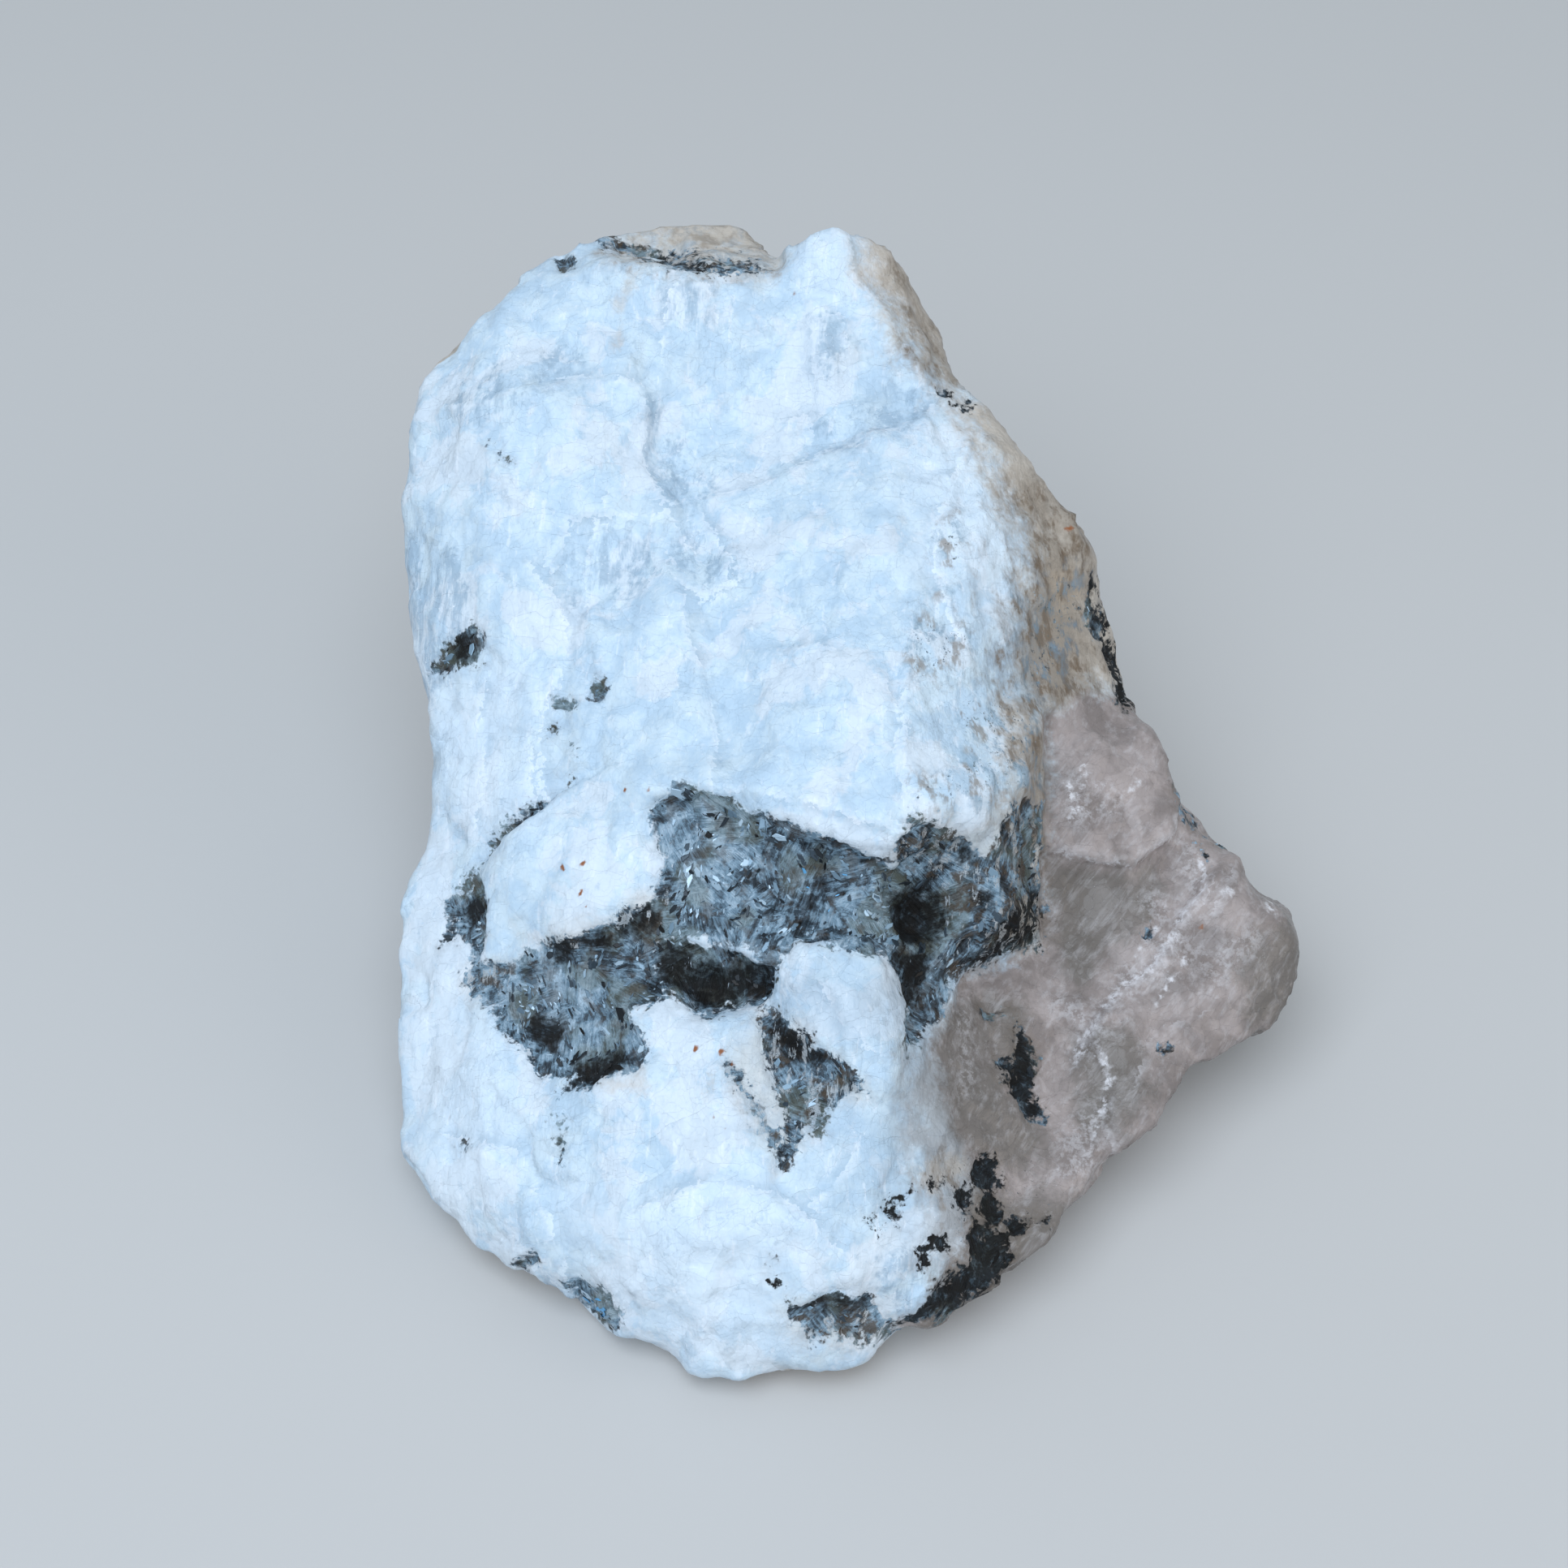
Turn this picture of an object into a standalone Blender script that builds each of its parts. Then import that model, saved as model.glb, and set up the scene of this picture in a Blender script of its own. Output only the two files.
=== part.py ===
"""A rough moonstone: one fist-sized lump of white feldspar with a quartz ledge grown into its right flank.

The stone is shaped the way a carver would rough it out. Its broad face is laid out as points seen square on,
each with its height. The outline is carried back as a block, the block is split along fracture planes,
the surface is broken into chipped facets, and the underside is ground flat where the stone rests.
"""

import itertools
import math
import random

import bmesh
import bpy
from mathutils import Vector, geometry, noise
from mathutils.kdtree import KDTree

MM = 0.001

# Driving dimensions
STONE_WIDTH = 80 * MM
SIGHT_DISTANCE = 220 * MM
FACE_LEAN = math.radians(45)
FACE_CENTRE = Vector((-5.4, -7.9, 28.3)) * MM

# The broad face is laid out on a square sheet, in sheet units, with the sight line through its middle
SHEET_MIDDLE = 966
OUTLINE_WIDTH = 1112
SHEET_UNIT = STONE_WIDTH / OUTLINE_WIDTH
SHEET_TOLERANCE = 0.01
KEEP_INSIDE_OUTLINE = 1

# The outline of the broad face, clockwise from the notch between the two crests: sheet x, sheet y, height in mm
OUTLINE = [
    (955, 311, -17), (985, 290, -14), (1018, 279, -13), (1058, 288, -14), (1102, 312, -16),
    (1130, 350, -17), (1157, 400, -18), (1182, 472, -14), (1252, 540, -13), (1292, 588, -13),
    (1330, 640, -13), (1353, 690, -13), (1356, 730, -17), (1372, 795, -18), (1384, 872, -15),
    (1422, 900, -11), (1438, 940, -9), (1452, 975, -9), (1480, 1014, -9), (1520, 1048, -9),
    (1548, 1094, -8), (1588, 1128, -8), (1606, 1180, -7), (1607, 1232, -6), (1591, 1264, -5),
    (1552, 1285, -3), (1500, 1308, -1), (1462, 1334, 1), (1412, 1398, 4), (1376, 1428, 5),
    (1340, 1473, 7), (1312, 1500, 9), (1286, 1548, 11), (1240, 1580, 12), (1195, 1608, 13),
    (1148, 1632, 14), (1108, 1638, 14), (1090, 1660, 14), (1074, 1684, 14), (1030, 1693, 14),
    (965, 1690, 14), (900, 1701, 14), (848, 1692, 13), (798, 1659, 12), (752, 1648, 11),
    (696, 1605, 9), (676, 1582, 8), (630, 1564, 7), (578, 1532, 5), (540, 1479, 3),
    (493, 1428, 0), (484, 1392, -1), (484, 1280, -3), (492, 1185, -5), (499, 1115, -6),
    (518, 1068, -7), (531, 1015, -8), (531, 900, -9), (523, 850, -10), (509, 795, -11),
    (506, 740, -12), (494, 690, -13), (492, 620, -14), (497, 550, -15), (505, 490, -15),
    (548, 444, -15), (594, 385, -16), (643, 341, -17), (694, 302, -18), (742, 281, -20),
    (790, 273, -22), (860, 267, -22), (912, 270, -22), (942, 295, -21),
]

# Ridges, ledges, cliffs and valleys that cross the broad face, each a line of points
FACE_LINES = {
    "far_lobe_foot": [(748, 300, -19), (800, 309, -19), (845, 326, -18), (900, 326, -18), (940, 322, -18)],
    "upper_crest": [(700, 335, -14), (755, 316, -12), (800, 323, -11), (840, 338, -11), (900, 337, -12),
                    (943, 331, -14)],
    "peak_ridge": [(1042, 300, -11), (1062, 348, -11), (1100, 402, -10.5), (1140, 450, -10.5),
                   (1166, 473, -11)],
    "upper_ledge": [(560, 497, -9), (640, 485, -8), (720, 469, -8), (788, 474, -8)],
    "scoop_left_rim": [(796, 480, -8), (801, 540, -7.2), (796, 570, -6.8), (816, 612, -5.6),
                       (850, 662, -4.6)],
    "scoop_left_foot": [(808, 500, -9.4), (812, 545, -8.8), (808, 572, -8.2), (832, 610, -7)],
    "scoop_lower_rim": [(905, 603, -5), (960, 588, -4.6), (1000, 568, -4.6), (1060, 552, -5),
                        (1110, 527, -6.5), (1150, 502, -8.6)],
    "scoop_lower_foot": [(905, 585, -7), (955, 570, -7), (1000, 550, -7.2), (1055, 535, -7.6),
                         (1100, 510, -8.8)],
    "plate_edge": [(855, 745, 0.8), (866, 830, 3), (876, 900, 5), (884, 945, 6.5)],
    "plate_foot": [(872, 745, -0.1), (883, 830, 2), (893, 900, 4.2), (900, 945, 6)],
    "slab_edge": [(596, 1165, 2.2), (600, 1100, 2.2), (606, 1052, 2.2), (625, 1028, 2.5), (662, 992, 3),
                  (715, 950, 3.8), (780, 918, 4.6)],
    "slab_foot": [(580, 1165, -0.8), (584, 1095, -1), (588, 1046, -1.2), (612, 1012, -0.6), (650, 975, 0.6),
                  (705, 935, 2.2), (775, 905, 3.9)],
    "cliff_top": [(1288, 880, -1), (1258, 945, 4), (1248, 1020, 6.5), (1244, 1100, 7), (1232, 1158, 6),
                  (1205, 1192, 4)],
    "cliff_foot": [(1303, 885, -5.5), (1292, 960, -5), (1296, 1050, -4.5), (1295, 1160, -3.5),
                   (1245, 1185, -1.5), (1200, 1212, 0)],
    "quartz_step_top": [(1312, 1060, -4), (1352, 1062, -4.2), (1398, 1060, -5), (1440, 1036, -6.2)],
    "quartz_step_foot": [(1312, 1072, -5.2), (1352, 1075, -5.6), (1402, 1073, -6.6), (1447, 1048, -7.6)],
    "quartz_vein": [(1484, 1055, -5.6), (1480, 1118, -4.6), (1450, 1170, -3.2), (1392, 1222, -1.6),
                    (1350, 1278, 0)],
    "quartz_brow": [(1372, 1300, 1.5), (1376, 1350, 3.5), (1366, 1400, 5)],
    "white_block_edge": [(952, 1190, 14), (1010, 1165, 14), (1066, 1170, 14), (1096, 1202, 14),
                         (1114, 1262, 15), (1104, 1320, 16)],
    "white_block_foot": [(1108, 1160, 9), (1116, 1205, 8), (1131, 1262, 9.5), (1122, 1318, 12)],
    "mica_band_brow": [(800, 972, 8), (850, 962, 9), (905, 982, 10.5), (960, 1010, 12), (1040, 1040, 13),
                       (1100, 1040, 13), (1140, 1000, 12), (1200, 1000, 9.5)],
    "mica_band_foot": [(812, 1000, 6), (860, 1000, 6.5), (905, 1020, 7.8), (960, 1045, 9),
                       (1040, 1070, 10), (1100, 1075, 9.5)],
    "lower_band_brow": [(655, 1345, 9), (720, 1345, 11), (795, 1300, 12.5), (790, 1262, 12)],
    "underside_edge": [(1204, 1415, 9.5), (1182, 1500, 12), (1150, 1585, 13.5), (1122, 1630, 14.2)],
    "left_crease": [(600, 1440, 8), (650, 1505, 10.5), (690, 1560, 11.5)],
}

# Single heights between those lines
FACE_SPOTS = [
    (800, 290, -20.5), (860, 288, -20.5), (915, 298, -20.5),
    (1000, 305, -12), (1090, 345, -15), (1125, 400, -15.5), (1150, 440, -15.5),
    (600, 445, -11), (680, 392, -11.5), (700, 440, -10.2), (760, 385, -10.5), (640, 410, -11.5),
    (560, 560, -9.5), (600, 580, -6.8), (540, 650, -9), (598, 660, -5.2), (545, 740, -8), (600, 750, -4),
    (560, 800, -6.5), (700, 560, -5.5), (690, 700, -3.4), (740, 640, -4.8), (770, 690, -3.8),
    (850, 400, -10.5), (860, 480, -10), (950, 400, -11.5), (900, 530, -9.8), (960, 490, -10.2),
    (1030, 420, -10.2), (1010, 500, -10.2), (1060, 470, -10.2), (980, 540, -8.6), (1110, 480, -9.8),
    (880, 640, -4.4), (940, 680, -1), (1000, 640, -0.8), (1080, 610, -1), (1150, 580, -4),
    (1200, 560, -7), (1210, 630, -3.6), (1250, 620, -8), (1290, 650, -10.5), (1250, 680, -4.5),
    (1310, 700, -10.5), (920, 760, 2.2), (1020, 740, 3.6), (1110, 720, 3.4), (1180, 720, 1.6),
    (1240, 760, -2), (1290, 780, -7.5), (1340, 760, -12.5), (1350, 820, -12.5), (1320, 860, -9),
    (700, 780, -0.5), (780, 780, 1), (640, 860, -1.6), (590, 880, -4.6), (565, 960, -5),
    (620, 950, -1.5), (700, 870, 1.2), (790, 860, 2.8), (820, 930, 5.6),
    (960, 850, 6.5), (1050, 850, 8.6), (1130, 830, 7.4), (1200, 840, 3.4), (950, 940, 9.5),
    (1050, 960, 12), (1140, 930, 10.8), (1200, 930, 7.2), (1250, 860, 0),
    (1350, 930, -5.8), (1400, 960, -7), (1340, 1010, -4.6), (1400, 1020, -6), (1440, 1000, -7.4),
    (1350, 1120, -4.6), (1420, 1110, -5.8), (1340, 1190, -2.6), (1290, 1240, -0.6),
    (1540, 1110, -5.6), (1560, 1180, -4.6), (1510, 1230, -2.4), (1450, 1250, -1.2), (1430, 1310, 1),
    (1300, 1330, 2.4), (1350, 1440, 5.6), (1220, 1250, 2), (1170, 1240, 6), (1230, 1330, 4.6),
    (1170, 1330, 9), (1180, 1400, 10.5), (1270, 1400, 5.4), (1300, 1460, 7.2), (1250, 1480, 8.2),
    (1240, 1540, 10.6), (1190, 1570, 12.4),
    (690, 1030, 4.6), (760, 990, 6.2), (650, 1100, 4.6), (710, 1100, 7), (780, 1060, 8),
    (640, 1172, 4.2), (700, 1140, 7.2), (760, 1115, 8.6), (555, 1060, -4.5), (545, 1150, -3),
    (610, 1200, 2), (640, 1240, 4), (700, 1200, 6), (690, 1290, 7.4), (760, 1200, 7.4),
    (750, 1300, 10), (540, 1250, -0.2), (580, 1320, 4.6), (545, 1380, 2.8), (630, 1390, 8.6),
    (850, 1060, 7.6), (920, 1100, 9.4), (870, 1140, 9.6), (1000, 1110, 10), (1060, 1120, 9.2),
    (1135, 1120, 6), (1180, 1060, 8), (1200, 1120, 6.6), (1150, 1180, 6.4),
    (820, 1200, 7.6), (880, 1215, 8), (935, 1205, 9), (840, 1262, 11.6), (900, 1262, 12.8),
    (950, 1262, 13), (1000, 1245, 15), (1060, 1240, 15.6), (1040, 1300, 16.6), (985, 1290, 13),
    (950, 1340, 13.6), (1030, 1350, 14.6), (860, 1350, 14.6), (900, 1420, 17), (1000, 1410, 16.6),
    (1080, 1400, 16), (780, 1400, 14), (700, 1420, 12), (740, 1500, 14.5), (820, 1500, 17),
    (920, 1500, 18.6), (1020, 1500, 18.4), (1110, 1480, 15.6), (800, 1580, 15.6), (900, 1590, 17.4),
    (1000, 1580, 17.2), (1080, 1570, 16), (900, 1650, 16), (1020, 1650, 15.6), (1070, 1630, 15),
    (560, 1440, 4.4), (620, 1500, 8), (740, 1590, 12),
]

# The outline is carried back in rings: distance behind the outline in mm, share of the outline kept
BACK_RINGS = [(7, 1.0), (20, 0.97), (42, 0.9), (70, 0.78), (100, 0.6)]

# Fracture planes that split the block, each a point on the plane in mm and its outward normal
SPLITS = {
    "top_back": ((-3, 49.1, 56), (0.05, 0.62, 0.78)),
    "back": ((-3, 52.1, 20), (0.06, 0.99, 0.08)),
    "back_left": ((-28, 41.1, 20), (-0.62, 0.78, 0.0)),
    "back_right": ((20, 40.1, 20), (0.68, 0.7, 0.16)),
    "left_under": ((-36, 8.1, 3), (-0.78, 0.1, -0.6)),
    "right_under": ((31.6, -9.9, 3), (0.6, 0.05, -0.8)),
    "front_right_under": ((15, -41.9, 3), (0.3, -0.42, -0.86)),
    "front_left_under": ((-31, -39.9, 1), (-0.42, -0.3, -0.86)),
    "back_under": ((-3, 46.1, 5), (0.0, 0.62, -0.78)),
}

CUT_TOLERANCE = 0.0001 * MM

# Ledges broken into the hidden sides: which way the side faces, a point in mm, the direction beyond which
# the surface lies deeper, and the depth
HIDDEN_LEDGES = {
    "back_shelf": ((0, 1, 0), (0, 50, 36), (0.45, 0.0, 0.9), 1.8),
    "back_scar": ((0, 1, 0), (-14, 48, 18), (-0.9, 0.1, -0.42), 1.6),
    "right_scar": ((0.8, 0.6, 0), (36, 12, 22), (0.3, 0.75, -0.6), 1.4),
}
LEDGE_FACING = (0.35, 0.7)
LEDGE_FLOOR = 3 * MM
LEDGE_FADE = 6 * MM
LEDGE_RUN = 1.6 * MM
LEDGE_WANDER = 5 * MM

# Skin of the rough stone
ROUGHING_VOXEL = 1.0 * MM
SOFTENING_PASSES = 2

# Chipped facets: shallow tilted bowls around seeds scattered through the stone
CHIP_FIELD = Vector((92, 116, 64)) * MM
CHIP_RANDOM_SEED = 11
CHIP_WANDER = 0.45
CHIPS_IN_REACH = 10
CHIP_SPACING = 9.5 * MM
CHIP_SLOPE = 0.12
CHIP_BOWL_RADIUS = 34 * MM
CHIP_SHARE = 0.55
BACK_ROUGHNESS = 0.9
BACK_FACING = (0.1, 0.5)
SWELL_SIZE = 11 * MM
SWELL_HEIGHT = 0.4 * MM
GRAIN_SIZE = 3.6 * MM
GRAIN_HEIGHT = 0.22 * MM
GRINDING_ALLOWANCE = 4 * MM
FINISHED_TRIANGLES = 9600

FELDSPAR_WHITE = (0.80, 0.83, 0.86, 1.0)
FELDSPAR_ROUGHNESS = 0.5


def face_point(x, y, height_mm):
    """A point on the sight line through a place on the sheet, at a height above the face plane."""
    height = height_mm * MM
    reach = SHEET_UNIT * (1 - height / SIGHT_DISTANCE)
    across = (x - SHEET_MIDDLE) * reach
    up = (SHEET_MIDDLE - y) * reach
    upward = Vector((0, math.sin(FACE_LEAN), math.cos(FACE_LEAN)))
    outward = Vector((0, -math.cos(FACE_LEAN), math.sin(FACE_LEAN)))
    return FACE_CENTRE + Vector((across, 0, 0)) + upward * up + outward * height


def broad_face(bm):
    """The broad face as triangles between the outline, the lines and the spots. Returns its rim in order."""
    points = list(OUTLINE)
    rim = list(range(len(OUTLINE)))
    lines = []
    for line in FACE_LINES.values():
        first = len(points)
        points.extend(line)
        lines.extend((first + i, first + i + 1) for i in range(len(line) - 1))
    points.extend(FACE_SPOTS)
    sheet = [Vector((x, y)) for x, y, _ in points]
    laid_out = geometry.delaunay_2d_cdt(sheet, lines, [rim], KEEP_INSIDE_OUTLINE, SHEET_TOLERANCE)
    places, faces, sources = laid_out[0], laid_out[2], laid_out[3]
    verts = {}
    for index, (place, source) in enumerate(zip(places, sources)):
        if not source:
            raise ValueError(f"two face lines cross at sheet {place.x:.0f}, {place.y:.0f}")
        verts[index] = bm.verts.new(face_point(place.x, place.y, points[source[0]][2]))
        if source[0] < len(rim):
            rim[source[0]] = verts[index]
    for face in faces:
        bm.faces.new([verts[i] for i in face])
    return rim


def carry_back(bm, rim):
    """Carries the rim of the face back in narrowing rings and closes the far end."""
    inward = Vector((0, math.cos(FACE_LEAN), -math.sin(FACE_LEAN)))
    start = [v.co.copy() for v in rim]
    middle = sum(start, Vector()) / len(start)
    for distance, kept in BACK_RINGS:
        ring = []
        for place in start:
            across = place - middle
            across -= inward * across.dot(inward)
            ring.append(bm.verts.new(place - across * (1 - kept) + inward * (distance * MM)))
        for i in range(len(ring)):
            j = (i + 1) % len(ring)
            bm.faces.new((rim[i], rim[j], ring[j], ring[i]))
        rim = ring
    bm.faces.new(rim)


def split(bm, point, normal):
    """Splits off what lies outside a plane and closes the cut."""
    geom = bm.verts[:] + bm.edges[:] + bm.faces[:]
    cut = bmesh.ops.bisect_plane(
        bm, geom=geom, dist=CUT_TOLERANCE, plane_co=point, plane_no=normal, clear_outer=True
    )["geom_cut"]
    edges = [g for g in cut if isinstance(g, bmesh.types.BMEdge)]
    bmesh.ops.holes_fill(bm, edges=edges)


def rough_block():
    """The face, the block behind it and the fracture planes, as one closed mesh."""
    bm = bmesh.new()
    carry_back(bm, broad_face(bm))
    bmesh.ops.recalc_face_normals(bm, faces=bm.faces)
    for point, normal in SPLITS.values():
        split(bm, Vector(point) * MM, Vector(normal).normalized())
    split(bm, Vector((0, 0, -GRINDING_ALLOWANCE)), Vector((0, 0, -1)))
    bmesh.ops.triangulate(bm, faces=bm.faces)
    bmesh.ops.recalc_face_normals(bm, faces=bm.faces)
    mesh = bpy.data.meshes.new("rough_block")
    bm.to_mesh(mesh)
    bm.free()
    return mesh


def modified(mesh, add_modifiers):
    """The mesh after the modifiers that a function adds to it."""
    helper = bpy.data.objects.new("helper", mesh)
    bpy.context.scene.collection.objects.link(helper)
    add_modifiers(helper)
    graph = bpy.context.evaluated_depsgraph_get()
    made = bpy.data.meshes.new_from_object(helper.evaluated_get(graph))
    bpy.data.objects.remove(helper)
    return made


def soften(helper):
    remesh = helper.modifiers.new("even_skin", "REMESH")
    remesh.mode = "VOXEL"
    remesh.voxel_size = ROUGHING_VOXEL
    smooth = helper.modifiers.new("worn_edges", "SMOOTH")
    smooth.factor = 0.5
    smooth.iterations = SOFTENING_PASSES


def thin_out(helper):
    triangles = sum(len(p.vertices) - 2 for p in helper.data.polygons)
    decimate = helper.modifiers.new("fewer_facets", "DECIMATE")
    decimate.ratio = FINISHED_TRIANGLES / triangles


def chip_seeds():
    """Seeds of the chipped facets, spread through the stone's box, each with its own tilt."""
    rng = random.Random(CHIP_RANDOM_SEED)
    corner = Vector((-CHIP_FIELD.x / 2, -CHIP_FIELD.y / 2, 0))
    counts = [round(side / CHIP_SPACING) + 1 for side in CHIP_FIELD]
    seeds = []
    for cell in itertools.product(*(range(count) for count in counts)):
        wander = Vector([rng.uniform(-CHIP_WANDER, CHIP_WANDER) for _ in cell])
        tilt = Vector([rng.uniform(-1, 1) for _ in cell])
        seeds.append((corner + (Vector(cell) + wander) * CHIP_SPACING, tilt))
    return seeds


def chipped(place, seeds, tree):
    """How far the surface stands up here: the lowest of the shallow tilted bowls around the nearest seeds."""
    lowest = None
    for _, index, distance in tree.find_n(place, CHIPS_IN_REACH):
        seed, tilt = seeds[index]
        level = CHIP_SLOPE * tilt.dot(place - seed) + distance * distance / CHIP_BOWL_RADIUS
        lowest = level if lowest is None else min(lowest, level)
    return lowest


def share(value, low, high):
    """0 below the low value, 1 above the high one, a straight ramp between."""
    return min(1, max(0, (value - low) / (high - low)))


def ledge_depth(place, normal):
    """How deep the ledges of the hidden sides lie here."""
    depth = 0
    for side, point, direction, full_depth in HIDDEN_LEDGES.values():
        beyond = (place - Vector(point) * MM).dot(Vector(direction).normalized())
        beyond += noise.noise(place / SWELL_SIZE) * LEDGE_WANDER
        on_side = share(normal.dot(Vector(side)), *LEDGE_FACING)
        depth += full_depth * MM * on_side * share(beyond, -LEDGE_RUN / 2, LEDGE_RUN / 2)
    return depth * share(place.z, LEDGE_FLOOR, LEDGE_FLOOR + LEDGE_FADE)


def roughen(mesh):
    """Breaks the smooth skin into chipped facets, swells and grain."""
    seeds = chip_seeds()
    tree = KDTree(len(seeds))
    for index, (place, _) in enumerate(seeds):
        tree.insert(place, index)
    tree.balance()
    offsets = []
    for vertex in mesh.vertices:
        place = vertex.co
        swell = noise.noise(place / SWELL_SIZE) * SWELL_HEIGHT
        grain = noise.noise(place / GRAIN_SIZE) * GRAIN_HEIGHT
        offsets.append(chipped(place, seeds, tree) * CHIP_SHARE + swell + grain)
    level = sum(offsets) / len(offsets)
    moves = []
    for vertex, offset in zip(mesh.vertices, offsets):
        rougher = 1 + BACK_ROUGHNESS * share(vertex.normal.y, *BACK_FACING)
        move = (offset - level) * rougher - ledge_depth(vertex.co, vertex.normal)
        moves.append(vertex.normal * move)
    for vertex, move in zip(mesh.vertices, moves):
        vertex.co += move
    mesh.update()


def grind_base(mesh):
    """Cuts the underside flat at the height of the table."""
    bm = bmesh.new()
    bm.from_mesh(mesh)
    split(bm, Vector((0, 0, 0)), Vector((0, 0, -1)))
    bmesh.ops.triangulate(bm, faces=bm.faces)
    bm.to_mesh(mesh)
    bm.free()


def settle(mesh):
    """Brings the middle of the stone's box over the origin, with its lowest point at zero."""
    corners = [[f(v.co[i] for v in mesh.vertices) for f in (min, max)] for i in range(3)]
    shift = Vector((-sum(corners[0]) / 2, -sum(corners[1]) / 2, -corners[2][0]))
    for vertex in mesh.vertices:
        vertex.co += shift
    mesh.update()
    print("settled by", [round(c / MM, 3) for c in shift], "mm")


def moonstone_material():
    material = bpy.data.materials.new("moonstone")
    material.use_nodes = True
    surface = material.node_tree.nodes["Principled BSDF"]
    surface.inputs["Base Color"].default_value = FELDSPAR_WHITE
    surface.inputs["Roughness"].default_value = FELDSPAR_ROUGHNESS
    surface.inputs["Metallic"].default_value = 0.0
    return material


def main():
    for old in list(bpy.data.objects):
        bpy.data.objects.remove(old)
    skin = modified(rough_block(), soften)
    roughen(skin)
    stone_mesh = modified(skin, thin_out)
    grind_base(stone_mesh)
    settle(stone_mesh)
    stone_mesh.name = "moonstone"
    stone = bpy.data.objects.new("moonstone", stone_mesh)
    stone.data.materials.append(moonstone_material())
    bpy.context.scene.collection.objects.link(stone)


main()
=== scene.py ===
import math
import random

import bmesh
import bpy
import numpy as np
from mathutils import Matrix, Vector, noise


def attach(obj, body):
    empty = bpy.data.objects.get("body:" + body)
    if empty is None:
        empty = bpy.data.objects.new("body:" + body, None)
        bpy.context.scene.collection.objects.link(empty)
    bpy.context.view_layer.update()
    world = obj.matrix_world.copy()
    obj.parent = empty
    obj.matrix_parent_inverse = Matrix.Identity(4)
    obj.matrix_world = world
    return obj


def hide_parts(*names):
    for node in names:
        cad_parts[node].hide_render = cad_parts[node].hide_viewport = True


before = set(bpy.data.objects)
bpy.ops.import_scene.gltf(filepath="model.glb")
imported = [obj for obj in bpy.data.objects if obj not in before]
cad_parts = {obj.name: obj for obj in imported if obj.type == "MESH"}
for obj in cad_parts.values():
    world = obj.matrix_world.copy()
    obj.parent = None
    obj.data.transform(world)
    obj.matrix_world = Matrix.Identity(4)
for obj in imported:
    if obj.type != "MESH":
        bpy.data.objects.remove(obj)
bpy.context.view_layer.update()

# The view
# The stone is seen from 45 degrees above its low front end, square on to its broad face. Everything on that
# face is placed on a square sheet held in front of it, whose middle the sight line runs through.
MM = 0.001
PICTURE_SIDE = 1932
SHEET_MIDDLE = PICTURE_SIDE / 2
OUTLINE_WIDTH = 1112
STONE_WIDTH = 80 * MM
SHEET_UNIT = STONE_WIDTH / OUTLINE_WIDTH
SIGHT_DISTANCE = 220 * MM
FACE_LEAN = math.radians(45)
FACE_CENTRE = Vector((-5.33, -7.81, 28.3)) * MM
FACE_UP = Vector((0, math.sin(FACE_LEAN), math.cos(FACE_LEAN)))
FACE_OUT = Vector((0, -math.cos(FACE_LEAN), math.sin(FACE_LEAN)))
EYE = FACE_CENTRE + FACE_OUT * SIGHT_DISTANCE
SENSOR_WIDTH = 36

camera_data = bpy.data.cameras.new("eye")
camera_data.sensor_width = SENSOR_WIDTH
camera_data.lens = SENSOR_WIDTH * SIGHT_DISTANCE / (SHEET_UNIT * PICTURE_SIDE)
camera_data.clip_start = 0.01
camera = bpy.data.objects.new("eye", camera_data)
camera.location = EYE
camera.rotation_euler = (FACE_LEAN, 0, 0)
bpy.context.scene.collection.objects.link(camera)
bpy.context.scene.camera = camera


# The stone
# One uncut lump of milky feldspar. It broke out of the rock along its cleavage, so its faces carry low steps
# and fine grain, with mica grown into its front and a ledge of waxy grey quartz grown into its right flank.
SKIN_VOXEL = 0.52 * MM
SKIN_SMOOTHING = 8
SITTING_CUT = 0.06 * MM
BASE_RIM = 0.3 * MM
SPIKE_SMOOTHING = 0.5


def linked(mesh, name):
    """A new object for the mesh, in the scene."""
    thing = bpy.data.objects.new(name, mesh)
    bpy.context.scene.collection.objects.link(thing)
    return thing


def with_modifiers(thing):
    """The object's mesh with its modifiers applied, in place."""
    graph = bpy.context.evaluated_depsgraph_get()
    made = bpy.data.meshes.new_from_object(thing.evaluated_get(graph))
    thing.modifiers.clear()
    thing.data = made


bm = bmesh.new()
bm.from_mesh(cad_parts["moonstone"].data)
bmesh.ops.remove_doubles(bm, verts=bm.verts, dist=0.001 * MM)
stone_mesh = bpy.data.meshes.new("stone")
bm.to_mesh(stone_mesh)
bm.free()
stone = linked(stone_mesh, "stone")
skin = stone.modifiers.new("even_skin", "REMESH")
skin.mode = "VOXEL"
skin.voxel_size = SKIN_VOXEL
worn = stone.modifiers.new("worn", "SMOOTH")
worn.factor = 0.5
worn.iterations = SKIN_SMOOTHING
with_modifiers(stone)

count = len(stone.data.vertices)
places = np.empty(count * 3, np.float32)
stone.data.vertices.foreach_get("co", places)
places = places.reshape(-1, 3).astype(float)
normals = np.array([v.vector for v in stone.data.vertex_normals])


def on_sheet(points):
    """Where points in space are seen on the sheet, and how many metres one sheet unit is there."""
    away = points - np.array(EYE)
    depth = -(away @ np.array(FACE_OUT))
    unit = SHEET_UNIT * depth / SIGHT_DISTANCE
    x = SHEET_MIDDLE + away[:, 0] / unit
    y = SHEET_MIDDLE - (away @ np.array(FACE_UP)) / unit
    return np.stack([x, y], 1), unit


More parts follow.
